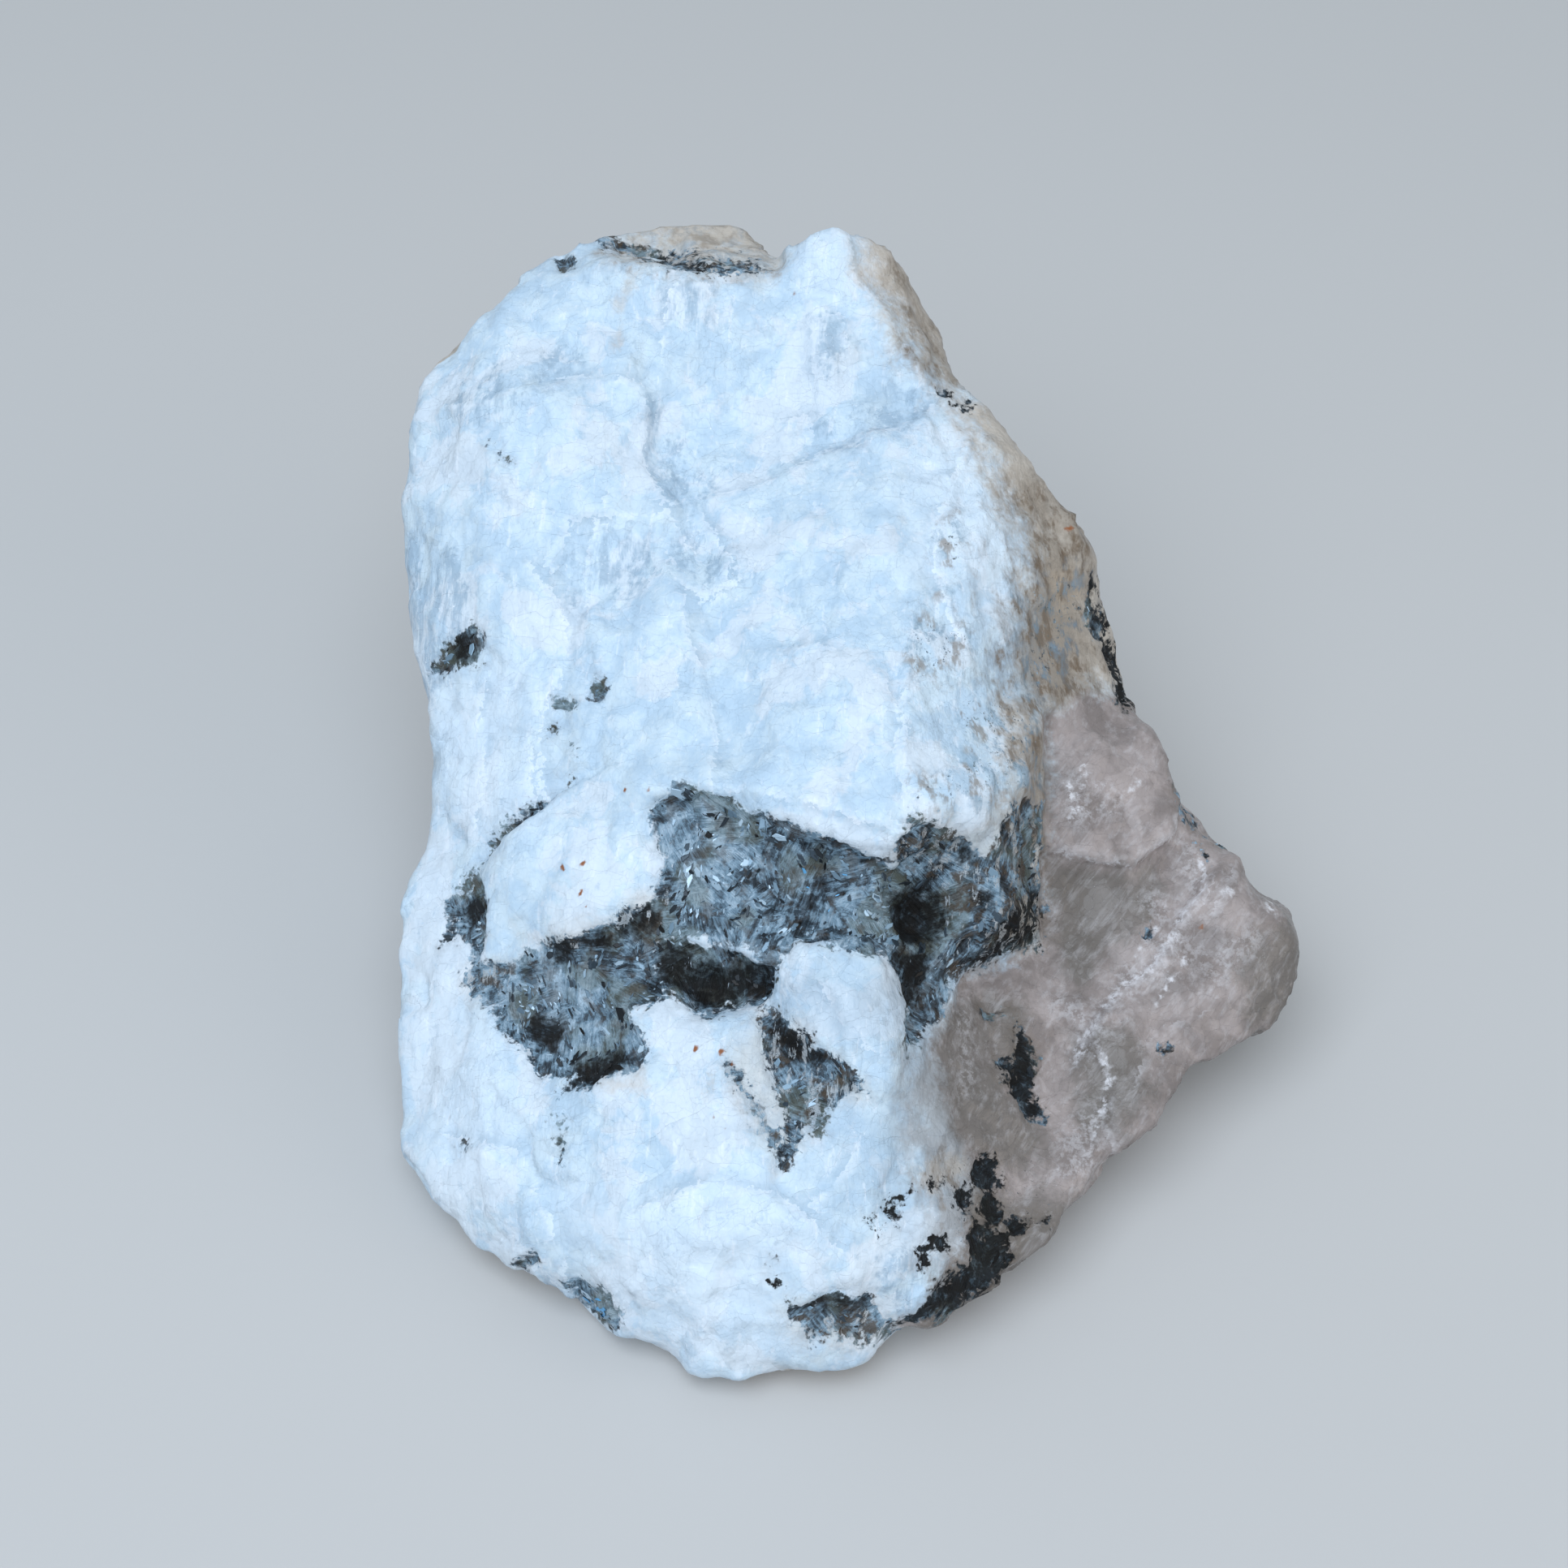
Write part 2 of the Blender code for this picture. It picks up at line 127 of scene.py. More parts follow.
sheet, sheet_unit = on_sheet(places)
to_eye = np.array(EYE) - places
to_eye /= np.linalg.norm(to_eye, axis=1)[:, None]
facing = (normals * to_eye).sum(1)
turned_away = np.clip(-0.12 - facing, 0, None) * 25


def nearest_on_line(corners):
    """Distance in sheet units from every place to a line of points, and the side it lies on."""
    best = np.full(len(sheet), 1e9)
    side = np.zeros(len(sheet))
    for start, end in zip(np.array(corners[:-1], float), np.array(corners[1:], float)):
        run = end - start
        off = sheet - start
        along = np.clip(off @ run / (run @ run), 0, 1)
        gap = np.linalg.norm(off - along[:, None] * run, axis=1)
        cross = run[0] * off[:, 1] - run[1] * off[:, 0]
        closer = gap < best
        best = np.where(closer, gap, best)
        side = np.where(closer, np.sign(cross), side)
    return best, side


def area(*corners):
    """Distance in mm outside an area drawn on the sheet, negative inside."""
    loop = list(corners) + [corners[0]]
    gap, _ = nearest_on_line(loop)
    inside = np.zeros(len(sheet), bool)
    x, y = sheet[:, 0], sheet[:, 1]
    for (x0, y0), (x1, y1) in zip(loop[:-1], loop[1:]):
        if y0 == y1:
            continue
        crosses = (y0 > y) != (y1 > y)
        inside ^= crosses & (x < (x1 - x0) * (y - y0) / (y1 - y0) + x0)
    return np.where(inside, -gap, gap) * sheet_unit / MM


def stroke(width, *corners):
    """Distance in mm outside a stroke of a width in sheet units."""
    gap, _ = nearest_on_line(corners)
    return (gap - width / 2) * sheet_unit / MM


def spots(*marks):
    """Distance in mm outside round spots, each with its x, y and radius on the sheet."""
    gaps = [np.hypot(sheet[:, 0] - x, sheet[:, 1] - y) - r for x, y, r in marks]
    return np.minimum.reduce(gaps) * sheet_unit / MM


def pockets(*balls):
    """Distance in mm outside balls in the stone, each with its centre and radius in mm."""
    gaps = [np.linalg.norm(places / MM - np.array(centre), axis=1) - radius for centre, radius in balls]
    return np.minimum.reduce(gaps)


def wandering(distance, size, reach, seed):
    """A distance in mm with its edge made to wander by a noise of a size and reach in mm."""
    shift = Vector((seed, -seed, 2 * seed))
    return distance + np.array([noise.noise(Vector(p) / (size * MM) + shift) for p in places]) * reach


def ramp(value, low, high):
    """0 at the low value, 1 at the high one, with a smooth run between."""
    share = np.clip((value - low) / (high - low), 0, 1)
    return share * share * (3 - 2 * share)


def seen(distance):
    """A mark on the broad face, which ends where the stone turns away from the eye."""
    return distance + turned_away


# Mica: dark flaky books, packed together in a band across the front and in smaller nests
mica_marks = np.minimum.reduce([
    area((533, 828), (545, 805), (560, 790), (585, 773), (597, 788), (592, 805), (585, 818), (560, 825)),
    area((585, 1062), (594, 1090), (597, 1110), (594, 1150), (588, 1185), (575, 1190), (578, 1165),
         (560, 1155), (545, 1163), (553, 1140), (550, 1110), (568, 1096)),
    area((608, 1182), (657, 1175), (676, 1153), (720, 1148), (754, 1139), (773, 1115), (812, 1105),
         (817, 1124), (805, 1180), (822, 1221), (802, 1236), (773, 1250), (788, 1274), (797, 1304),
         (773, 1313), (744, 1328), (725, 1340), (691, 1342), (700, 1323), (662, 1318), (647, 1289),
         (613, 1265), (608, 1241), (579, 1255), (594, 1231), (570, 1211), (575, 1192)),
    area((802, 988), (831, 969), (875, 975), (900, 990), (919, 1003), (996, 1020), (1020, 1037),
         (1069, 1051), (1103, 1068), (1112, 1030), (1130, 1002), (1156, 1013), (1185, 1032), (1210, 1056),
         (1228, 1030), (1239, 1003), (1262, 985), (1287, 998), (1292, 1085), (1287, 1163), (1239, 1182),
         (1195, 1202), (1180, 1195), (1161, 1250), (1132, 1274), (1113, 1299), (1120, 1250),
         (1113, 1211), (1093, 1172), (1083, 1173), (1025, 1163), (982, 1153), (955, 1180), (948, 1195),
         (925, 1170), (860, 1158), (812, 1158), (797, 1182), (790, 1130), (805, 1095), (822, 1060),
         (806, 1025)),
    area((797, 1182), (812, 1158), (860, 1158), (925, 1185), (948, 1192), (950, 1222), (930, 1236),
         (899, 1238), (870, 1250), (841, 1232), (812, 1207)),
    area((928, 1240), (960, 1240), (975, 1268), (1025, 1299), (1054, 1328), (1069, 1347), (1040, 1352),
         (1025, 1368), (1006, 1396), (990, 1375), (985, 1400), (970, 1438), (962, 1425), (972, 1392),
         (960, 1365), (955, 1330), (940, 1290)),
    area((894, 1305), (919, 1318), (935, 1345), (950, 1380), (962, 1405), (950, 1412), (930, 1372),
         (905, 1340)),
    area((1255, 1261), (1270, 1277), (1278, 1312), (1276, 1343), (1287, 1379), (1270, 1376),
         (1255, 1358), (1245, 1333), (1237, 1305), (1251, 1300)),
    area((1206, 1420), (1222, 1416), (1232, 1430), (1230, 1448), (1236, 1462), (1222, 1470), (1204, 1460),
         (1192, 1466), (1198, 1442)),
    area((1184, 1466), (1198, 1464), (1198, 1488), (1190, 1508), (1181, 1500), (1180, 1480)),
    area((1216, 1466), (1234, 1462), (1230, 1478), (1240, 1492), (1238, 1512), (1222, 1508), (1214, 1490)),
    area((1206, 1506), (1222, 1510), (1242, 1522), (1243, 1556), (1225, 1580), (1200, 1604), (1150, 1627),
         (1112, 1637), (1132, 1608), (1160, 1588), (1184, 1570), (1196, 1548), (1194, 1524)),
    area((1132, 1534), (1148, 1527), (1176, 1530), (1172, 1538), (1150, 1540), (1142, 1560), (1136, 1556)),
    area((694, 1586), (735, 1590), (768, 1620), (752, 1642), (712, 1618)),
    area((968, 1603), (990, 1612), (1004, 1598), (1040, 1588), (1075, 1600), (1082, 1620),
         (1102, 1632), (1112, 1650), (1090, 1656), (1050, 1652), (1030, 1640), (1000, 1652),
         (996, 1630), (975, 1622)),
    area((735, 300), (760, 288), (775, 296), (800, 303), (830, 315), (855, 319), (895, 321),
         (930, 316), (948, 326), (930, 331), (895, 335), (860, 337), (840, 333), (815, 323),
         (790, 312), (765, 305), (745, 309)),
    area((1342, 712), (1352, 731), (1365, 776), (1379, 807), (1390, 848), (1392, 876), (1383, 870),
         (1374, 840), (1362, 807), (1347, 776), (1337, 750)),
    area((1447, 968), (1462, 980), (1474, 1002), (1478, 1014), (1466, 1010), (1454, 992)),
    stroke(8, (1476, 1030), (1484, 1042), (1490, 1054)),
    stroke(9, (1166, 481), (1177, 492)),
    spots((1190, 497, 5), (1219, 1246, 5), (1232, 1249, 5), (1247, 1252, 4), (1152, 1458, 8),
          (1255, 1509, 12), (1284, 1505, 5), (955, 1547, 4), (957, 1578, 4), (695, 322, 5), (758, 1617, 10)),
    stroke(5, (1102, 1482), (1112, 1477), (1124, 1471), (1128, 1464)),
    stroke(4, (1134, 1462), (1140, 1476)),
    stroke(3, (1098, 1488), (1104, 1500)),
    stroke(4, (1064, 1500), (1074, 1508), (1082, 1516)),
    stroke(5, (1419, 1133), (1416, 1144)),
    spots((1439, 1293, 5), (1434, 1286, 3)),
    stroke(6, (612, 556), (622, 566)),
    stroke(9, (665, 1550), (640, 1560)),
    spots((692, 865, 6), (676, 895, 5), (703, 918, 5), (738, 848, 7), (695, 1384, 6), (569, 1412, 5)),
    stroke(3, (700, 955), (652, 990), (612, 1025), (600, 1040), (588, 1068)),
    stroke(3, (695, 1384), (689, 1400), (692, 1436)),
])
hidden_nests = pockets(
    ((-8, 52, 30), 10), ((4, 50, 22), 7), ((-34, 30, 26), 6), ((31, 30, 14), 8), ((38, 8, 14), 5),
    ((-42, -8, 12), 5), ((18, 50, 8), 6), ((-20, 48, 8), 7), ((26, 36, 30), 4), ((-38, 14, 6), 6),
)
hidden_nests = wandering(wandering(hidden_nests, 7, 9, 53), 2.5, 3, 59)
mica = np.minimum(seen(mica_marks), hidden_nests)
mica = wandering(mica, 2.4, 0.75, 3)
mica = wandering(mica, 0.9, 0.55, 7)

# The darkest books, brown-black, in the thick of the mica
dark_marks = np.minimum.reduce([
    area((800, 1190), (815, 1166), (850, 1166), (880, 1192), (945, 1196), (946, 1222), (900, 1233),
         (868, 1240), (840, 1225), (815, 1205)),
    area((1108, 1105), (1135, 1095), (1165, 1108), (1170, 1140), (1150, 1166), (1118, 1160), (1105, 1135)),
    area((1112, 1172), (1150, 1170), (1160, 1200), (1140, 1225), (1120, 1240), (1118, 1205)),
    area((650, 1250), (690, 1245), (700, 1270), (680, 1292), (655, 1285)),
    area((700, 1310), (740, 1295), (760, 1290), (775, 1305), (740, 1328), (705, 1338)),
    area((670, 1160), (700, 1160), (760, 1145), (800, 1105), (812, 1115), (800, 1150), (760, 1165),
         (700, 1180), (680, 1190)),
    area((1250, 1120), (1290, 1090), (1290, 1163), (1245, 1180), (1200, 1200), (1190, 1185), (1230, 1165)),
    area((955, 1250), (975, 1270), (1010, 1300), (1000, 1320), (970, 1300), (945, 1285)),
    area((1237, 1261), (1270, 1261), (1290, 1379), (1270, 1380), (1237, 1340)),
    area((1176, 1400), (1290, 1400), (1290, 1560), (1200, 1604), (1112, 1640), (1150, 1570), (1178, 1520)),
    area((985, 1606), (1005, 1598), (1040, 1594), (1070, 1600), (1060, 1612), (1030, 1614), (1000, 1618)),
    area((1040, 1440), (1180, 1440), (1186, 1580), (1120, 1580), (1040, 1530)),
    area((940, 1530), (970, 1530), (970, 1590), (940, 1590)),
    spots((1215, 1110, 11), (1190, 1060, 9), (565, 800, 14), (860, 330, 14), (815, 318, 10), (575, 1120, 14)),
    area((1337, 712), (1400, 712), (1400, 880), (1380, 880)),
    area((1160, 475), (1200, 475), (1200, 505), (1160, 505)),
])
dark = wandering(seen(dark_marks), 1.6, 0.7, 11)

# Where mica, feldspar and rusty weathering are mixed grain by grain
mixed = np.minimum.reduce([
    area((1100, 1060), (1112, 1030), (1130, 1002), (1185, 1020), (1240, 985), (1292, 985), (1296, 1090),
         (1290, 1170), (1195, 1205), (1160, 1160), (1172, 1110), (1140, 1085)),
    area((780, 1100), (820, 1080), (830, 1130), (800, 1160), (770, 1150)),
    area((640, 1150), (720, 1140), (780, 1120), (780, 1150), (700, 1180)),
    area((930, 1240), (960, 1250), (1060, 1330), (1060, 1350), (1000, 1380), (960, 1440), (890, 1320)),
    area((735, 285), (960, 300), (950, 345), (740, 325)),
    area((960, 1612), (1010, 1612), (1075, 1608), (1120, 1650), (1050, 1665), (985, 1655)),
    area((575, 1190), (640, 1186), (610, 1240), (570, 1230)),
])
mixed = wandering(seen(mixed), 2, 1.0, 13)

# The paler, silvery books
silver = np.minimum.reduce([
    area((590, 1195), (668, 1186), (745, 1196), (740, 1246), (700, 1240), (650, 1238), (620, 1262),
         (596, 1240)),
    area((640, 1238), (700, 1240), (770, 1240), (792, 1290), (735, 1288), (690, 1306), (650, 1280)),
    area((812, 990), (880, 985), (925, 1020), (935, 1060), (905, 1090), (940, 1130), (920, 1155), (860, 1140),
         (835, 1090), (818, 1040)),
    area((1040, 1075), (1100, 1080), (1104, 1150), (1050, 1155)),
    area((1180, 1030), (1215, 1050), (1215, 1110), (1185, 1100)),
    area((1000, 1625), (1090, 1620), (1100, 1650), (1010, 1650)),
    area((695, 1590), (740, 1590), (765, 1620), (712, 1612)),
])
silver = wandering(seen(silver), 2, 1.2, 67)

# Quartz: the ledge on the right flank, waxy and pinkish grey, carried round to the back of the flank
quartz = area((1296, 885), (1325, 868), (1345, 858), (1420, 850), (1800, 850), (1800, 1320), (1500, 1420),
              (1400, 1560), (1240, 1700), (1118, 1700), (1112, 1640), (1150, 1592), (1180, 1540),
              (1198, 1470), (1192, 1425), (1174, 1395), (1158, 1340), (1150, 1290), (1165, 1245),
              (1188, 1208), (1230, 1188), (1290, 1168), (1296, 1050))
quartz = wandering(quartz, 3, 0.5, 17)

# The deeper, smokier parts of the quartz
deep = np.minimum.reduce([
    area((1140, 1300), (1165, 1235), (1200, 1212), (1262, 1240), (1275, 1300), (1250, 1345), (1285, 1385),
         (1290, 1430), (1240, 1445), (1200, 1425), (1160, 1400), (1140, 1345)),
    area((1300, 1062), (1352, 1068), (1400, 1070), (1425, 1060), (1440, 1090), (1420, 1140), (1370, 1170),
         (1330, 1215), (1300, 1180)),
    area((1318, 1270), (1395, 1260), (1425, 1330), (1380, 1400), (1325, 1380)),
    area((1190, 1430), (1225, 1420), (1245, 1480), (1340, 1450), (1330, 1500), (1240, 1640), (1110, 1660),
         (1150, 1592), (1178, 1530)),
])
deep = wandering(np.minimum(seen(deep), pockets(((44, 24, 12), 8), ((38, -14, 8), 7))), 2.5, 1.2, 19)

# Smoky, more transparent feldspar that shows grey
smoke = np.minimum.reduce([
    area((560, 470), (610, 455), (650, 470), (640, 505), (600, 525), (562, 520)),
    area((700, 655), (740, 640), (795, 660), (800, 720), (760, 742), (700, 735)),
    area((830, 665), (880, 655), (905, 700), (880, 735), (840, 720)),
    area((1002, 525), (1030, 520), (1062, 525), (1068, 545), (1030, 552), (1005, 548)),
    area((805, 490), (840, 560), (880, 590), (850, 640), (820, 610), (805, 560)),
    area((1000, 395), (1035, 385), (1050, 430), (1025, 455), (1000, 440)),
    area((820, 350), (870, 345), (875, 400), (840, 415), (818, 395)),
    area((665, 440), (720, 425), (725, 465), (690, 475), (665, 470)),
    area((1100, 470), (1150, 480), (1120, 520), (1075, 530), (1060, 490)),
    area((660, 1560), (690, 1580), (720, 1600), (690, 1600), (650, 1572)),
    area((1085, 1560), (1150, 1540), (1150, 1600), (1110, 1630)),
])
smoke = np.minimum(seen(smoke), pockets(((20, 44, 30), 9), ((-38, 12, 30), 8), ((-12, 50, 12), 6)))
smoke = wandering(smoke, 3, 1.2, 23)

# Hazy grey feldspar that runs into the quartz, then painted light and painted shade: patches painted whiter
# and patches painted darker
hazy = area((1114, 1335), (1132, 1290), (1165, 1235), (1240, 1240), (1240, 1480), (1200, 1540), (1160, 1590),
            (1140, 1560), (1150, 1500), (1134, 1440), (1122, 1400))
hazy = wandering(seen(hazy), 3, 1.2, 73)
# Painted light: the right shoulder, the peak, the left side and the low front are painted whiter where they
# turn from the lamps.
painted_light = np.minimum.reduce([
    area((1110, 560), (1190, 500), (1250, 600), (1262, 700), (1210, 760), (1130, 700)),
    area((990, 290), (1050, 290), (1080, 350), (1020, 370)),
    area((530, 840), (640, 820), (660, 960), (590, 1040), (540, 1000)),
    area((500, 1200), (560, 1200), (620, 1300), (640, 1480), (560, 1460), (500, 1380)),
    area((700, 1480), (900, 1460), (1000, 1520), (960, 1640), (860, 1680), (760, 1600)),
])
painted_light = wandering(seen(painted_light), 5, 3, 79)
# Painted shade: the white block, a patch low in front and one under the peak are painted darker and greyer.
painted_shade = np.minimum.reduce([
    area((990, 1180), (1090, 1190), (1110, 1260), (1090, 1310), (1020, 1280), (975, 1240)),
    area((1005, 1410), (1060, 1380), (1120, 1360), (1150, 1450), (1125, 1560), (1080, 1500), (1010, 1470)),
    area((1080, 430), (1150, 480), (1100, 520), (1060, 500)),
])
painted_shade = wandering(seen(painted_shade), 4, 2, 83)

# Beige skin on the flanks and the far crest, partly real weathering and partly painted shade on faces that
# turn from the light, and tan stains
weathered_and_shaded = np.minimum.reduce([
    area((1055, 285), (1200, 285), (1200, 480), (1165, 482), (1140, 455), (1112, 420), (1090, 375),
         (1066, 338)),
    area((740, 250), (955, 250), (955, 318), (895, 320), (855, 318), (800, 302), (775, 294)),
    area((1165, 485), (1300, 480), (1420, 640), (1420, 870), (1345, 858), (1296, 885), (1270, 850),
         (1262, 770), (1262, 690), (1240, 630), (1205, 560)),
    area((1235, 860), (1296, 885), (1296, 1050), (1292, 1170), (1262, 1175), (1258, 1080), (1250, 960)),
])
weathered_and_shaded = wandering(seen(weathered_and_shaded), 3, 0.8, 29)
# Painted shade: the beige is also painted onto every face that turns away from the eye.
weathered_and_shaded = np.minimum(weathered_and_shaded, wandering(8 - 8 * ramp(-facing, -0.1, 0.3), 11, 8, 61))
# Brown on the right flank, its cliff and the peak's right facet: partly real staining and partly painted
# shade on these faces turned from the light.
stained_and_shaded = np.minimum.reduce([
    area((1272, 640), (1322, 650), (1345, 720), (1348, 790), (1370, 850), (1345, 858), (1296, 885),
         (1252, 880), (1234, 820), (1238, 760), (1262, 700)),
    area((1255, 900), (1300, 880), (1300, 1160), (1255, 1160), (1250, 1050)),
    area((1240, 600), (1290, 590), (1345, 660), (1345, 720), (1270, 660)),
    area((1105, 340), (1150, 400), (1172, 470), (1150, 470), (1120, 420)),
])
stained_and_shaded = wandering(seen(stained_and_shaded), 3, 1.6, 71)
tan = np.minimum.reduce([
    area((740, 1325), (785, 1318), (792, 1345), (750, 1352)),
    stroke(4, (768, 310), (775, 340), (765, 370), (762, 425)),
    area((1286, 715), (1320, 700), (1335, 730), (1310, 750)),
    area((1120, 1440), (1190, 1420), (1200, 1440), (1150, 1470)),
    spots((1440, 1340, 16), (1300, 1395, 20), (870, 1340, 10)),
])
tan = np.minimum(seen(tan), pockets(((6, 51, 44), 6), ((34, 26, 24), 5), ((-30, 36, 14), 5)))
tan = wandering(tan, 2, 0.9, 31)

# Small rust-coloured grains
rust = seen(np.minimum.reduce([
    spots((693, 1069, 4), (718, 1064, 3), (714, 1100, 3), (722, 1116, 2), (980, 361, 3), (1311, 655, 4),
          (1480, 1142, 3), (858, 1292, 3), (888, 1296, 4), (868, 1340, 2), (856, 1352, 2), (880, 1375, 3),
          (892, 1388, 2), (772, 975, 2), (800, 971, 2), (905, 1310, 3), (848, 1330, 2)),
]))
rust = wandering(rust, 0.5, 0.3, 37)

# Zones where fine mica is peppered through the feldspar
pepper = np.minimum.reduce([
    area((1108, 770), (1150, 755), (1205, 765), (1205, 800), (1175, 835), (1120, 830)),
    area((1235, 735), (1290, 700), (1335, 705), (1345, 760), (1310, 830), (1290, 880), (1250, 870)),
    area((1180, 845), (1245, 840), (1290, 890), (1292, 990), (1245, 1000), (1120, 1010), (1110, 960),
         (1190, 920)),
    area((1120, 1440), (1180, 1410), (1290, 1400), (1330, 1450), (1260, 1540), (1150, 1600), (1160, 1500)),
    area((1145, 650), (1185, 620), (1205, 690), (1190, 745), (1155, 725)),
    area((1245, 985), (1292, 985), (1292, 1170), (1255, 1170)),
    area((740, 290), (960, 290), (960, 345), (740, 330)),
])
pepper = np.minimum(seen(pepper), pockets(((-4, 50, 36), 9), ((34, 24, 18), 9), ((-38, 0, 10), 7)))
pepper = wandering(pepper, 3, 1.4, 41)

# Milky crackle that runs through the quartz
milk = np.minimum.reduce([
    stroke(34, (1470, 1040), (1480, 1090), (1450, 1160), (1400, 1205), (1370, 1240), (1345, 1280)),
    stroke(20, (1300, 1235), (1340, 1260)),
    stroke(24, (1316, 965), (1330, 1000), (1370, 985)),
    stroke(30, (1420, 1110), (1435, 1150), (1500, 1200), (1540, 1160)),
    stroke(16, (1180, 1240), (1200, 1300), (1190, 1350)),
    area((1300, 1400), (1345, 1350), (1372, 1360), (1362, 1430), (1320, 1460)),
])
milk = wandering(np.minimum(seen(milk), pockets(((46, 16, 20), 5), ((40, 26, 6), 5))), 2, 0.8, 47)

# White healed veins and scratches that stand out in the quartz
veins = seen(np.minimum.reduce([
    stroke(4, (1480, 1052), (1484, 1088), (1456, 1123), (1444, 1159), (1408, 1200), (1378, 1220),
           (1357, 1246), (1337, 1277), (1327, 1302)),
    stroke(2, (1462, 1180), (1454, 1195), (1434, 1220), (1423, 1241)),
    stroke(3, (1357, 1302), (1367, 1328), (1357, 1379), (1342, 1409)),
    stroke(3, (1434, 1110), (1425, 1140), (1405, 1165), (1398, 1180)),
    stroke(2, (1311, 1052), (1352, 1062), (1398, 1067), (1423, 1047), (1449, 1027), (1450, 1012)),
    stroke(4, (1334, 945), (1335, 972)),
    stroke(4, (1378, 981), (1390, 976), (1403, 963)),
    stroke(3, (1316, 965), (1321, 988)),
    stroke(3, (1319, 1008), (1322, 999), (1330, 994)),
    spots((1352, 967, 3), (1560, 1120, 4), (1512, 1100, 3)),
]))
veins = wandering(veins, 1.6, 0.3, 43)

# Cracks and low broken edges, drawn on the sheet: depth or height in mm and the line. A ledge's high side is
# on the right of its line, seen walking along it
CRACKS = [
    (0.9, [(740, 938), (700, 955), (665, 975), (650, 993), (630, 1010), (612, 1025), (600, 1040),
           (590, 1055)]),
    (0.4, [(870, 750), (895, 785), (908, 812)]),
    (0.5, [(660, 1325), (690, 1280)]),
    (0.3, [(768, 310), (775, 340), (765, 370), (762, 430)]),
    (0.5, [(1199, 1212), (1222, 1236), (1228, 1252)]),
    (0.9, [(1300, 880), (1296, 940), (1295, 1000), (1297, 1100), (1293, 1168), (1250, 1185), (1200, 1207)]),
]
LEDGES = [
    (0.45, [(790, 470), (798, 500), (800, 535), (792, 560), (800, 585), (815, 605), (825, 635), (850, 668)]),
    (0.5, [(900, 602), (930, 595), (960, 585), (1000, 565), (1010, 552), (1060, 550), (1070, 535),
           (1110, 522), (1145, 500), (1165, 490)]),
    (0.5, [(962, 560), (960, 530), (972, 508), (994, 505), (998, 530), (996, 560)]),
    (0.5, [(790, 742), (806, 700), (798, 650), (745, 632), (700, 640), (684, 700)]),
    (0.4, [(815, 420), (822, 352), (872, 345), (880, 380)]),
    (0.4, [(1000, 455), (998, 395), (1035, 385), (1052, 430)]),
    (0.5, [(1116, 1030), (1060, 1012), (980, 985), (905, 975)]),
    (0.9, [(1452, 1010), (1449, 1027), (1423, 1047), (1398, 1067), (1352, 1062), (1311, 1052)]),
    (0.8, [(1327, 1302), (1357, 1246), (1378, 1220), (1408, 1200), (1444, 1159), (1454, 1123), (1482, 1088)]),
    (0.6, [(1372, 1420), (1362, 1380), (1368, 1340), (1350, 1300)]),
    (0.5, [(870, 640), (905, 690), (900, 740), (860, 742)]),
    (0.6, [(845, 750), (865, 830), (875, 860), (885, 905), (880, 960)]),
    (0.5, [(1045, 295), (1058, 340), (1090, 375), (1112, 420), (1140, 455), (1165, 482)]),
    (0.5, [(660, 700), (700, 760), (690, 830), (660, 900), (655, 975)]),
    (0.4, [(930, 800), (1010, 790), (1090, 830), (1120, 900)]),
    (0.5, [(560, 1400), (640, 1420), (680, 1500), (700, 1580)]),
    (0.4, [(800, 1480), (880, 1450), (960, 1470), (1030, 1530)]),
    (0.35, [(560, 497), (640, 478), (720, 462), (790, 470)]),
    (0.3, [(598, 852), (594, 900), (600, 963), (590, 1010)]),
    (0.3, [(664, 880), (667, 930), (665, 975)]),
    (0.3, [(722, 745), (718, 700), (730, 655), (742, 618)]),
    (0.3, [(812, 700), (800, 670), (806, 640), (822, 625)]),
    (0.3, [(915, 712), (892, 733), (862, 736), (840, 720)]),
    (0.3, [(1180, 790), (1150, 700), (1152, 640), (1180, 560)]),
    (0.3, [(1120, 1010), (1100, 930), (1112, 860)]),
    (0.3, [(1000, 1480), (1040, 1440), (1060, 1400), (1052, 1360)]),
    (0.3, [(1075, 1290), (1040, 1262), (1010, 1215)]),
    (0.3, [(1530, 1230), (1500, 1190), (1492, 1130), (1512, 1080)]),
    (0.3, [(1400, 1330), (1410, 1290), (1440, 1260), (1470, 1250)]),
]
BULGES = [
    (0.55, 860, 280, 45), (0.5, 1028, 286, 55), (-1.4, 954, 314, 14), (-1.2, 1135, 1130, 26),
    (-0.5, 1335, 1120, 40), (-0.5, 1150, 1190, 20), (1.0, 1590, 1135, 45), (0.6, 1527, 1055, 30),
    (1.0, 1344, 665, 45), (0.6, 1162, 416, 35), (0.5, 1245, 531, 35), (-1.0, 492, 1205, 35),
    (-0.8, 1105, 1640, 30), (-0.7, 825, 1672, 30), (-0.5, 700, 1602, 30), (-0.6, 555, 435, 30),
    (0.5, 736, 287, 30),
    (-0.8, 1135, 1130, 20), (-0.7, 870, 1212, 22), (-0.5, 910, 1216, 20),
]
CRACK_WIDTH = 0.55
LEDGE_RUN = 0.35
LEDGE_FADE = 4.5

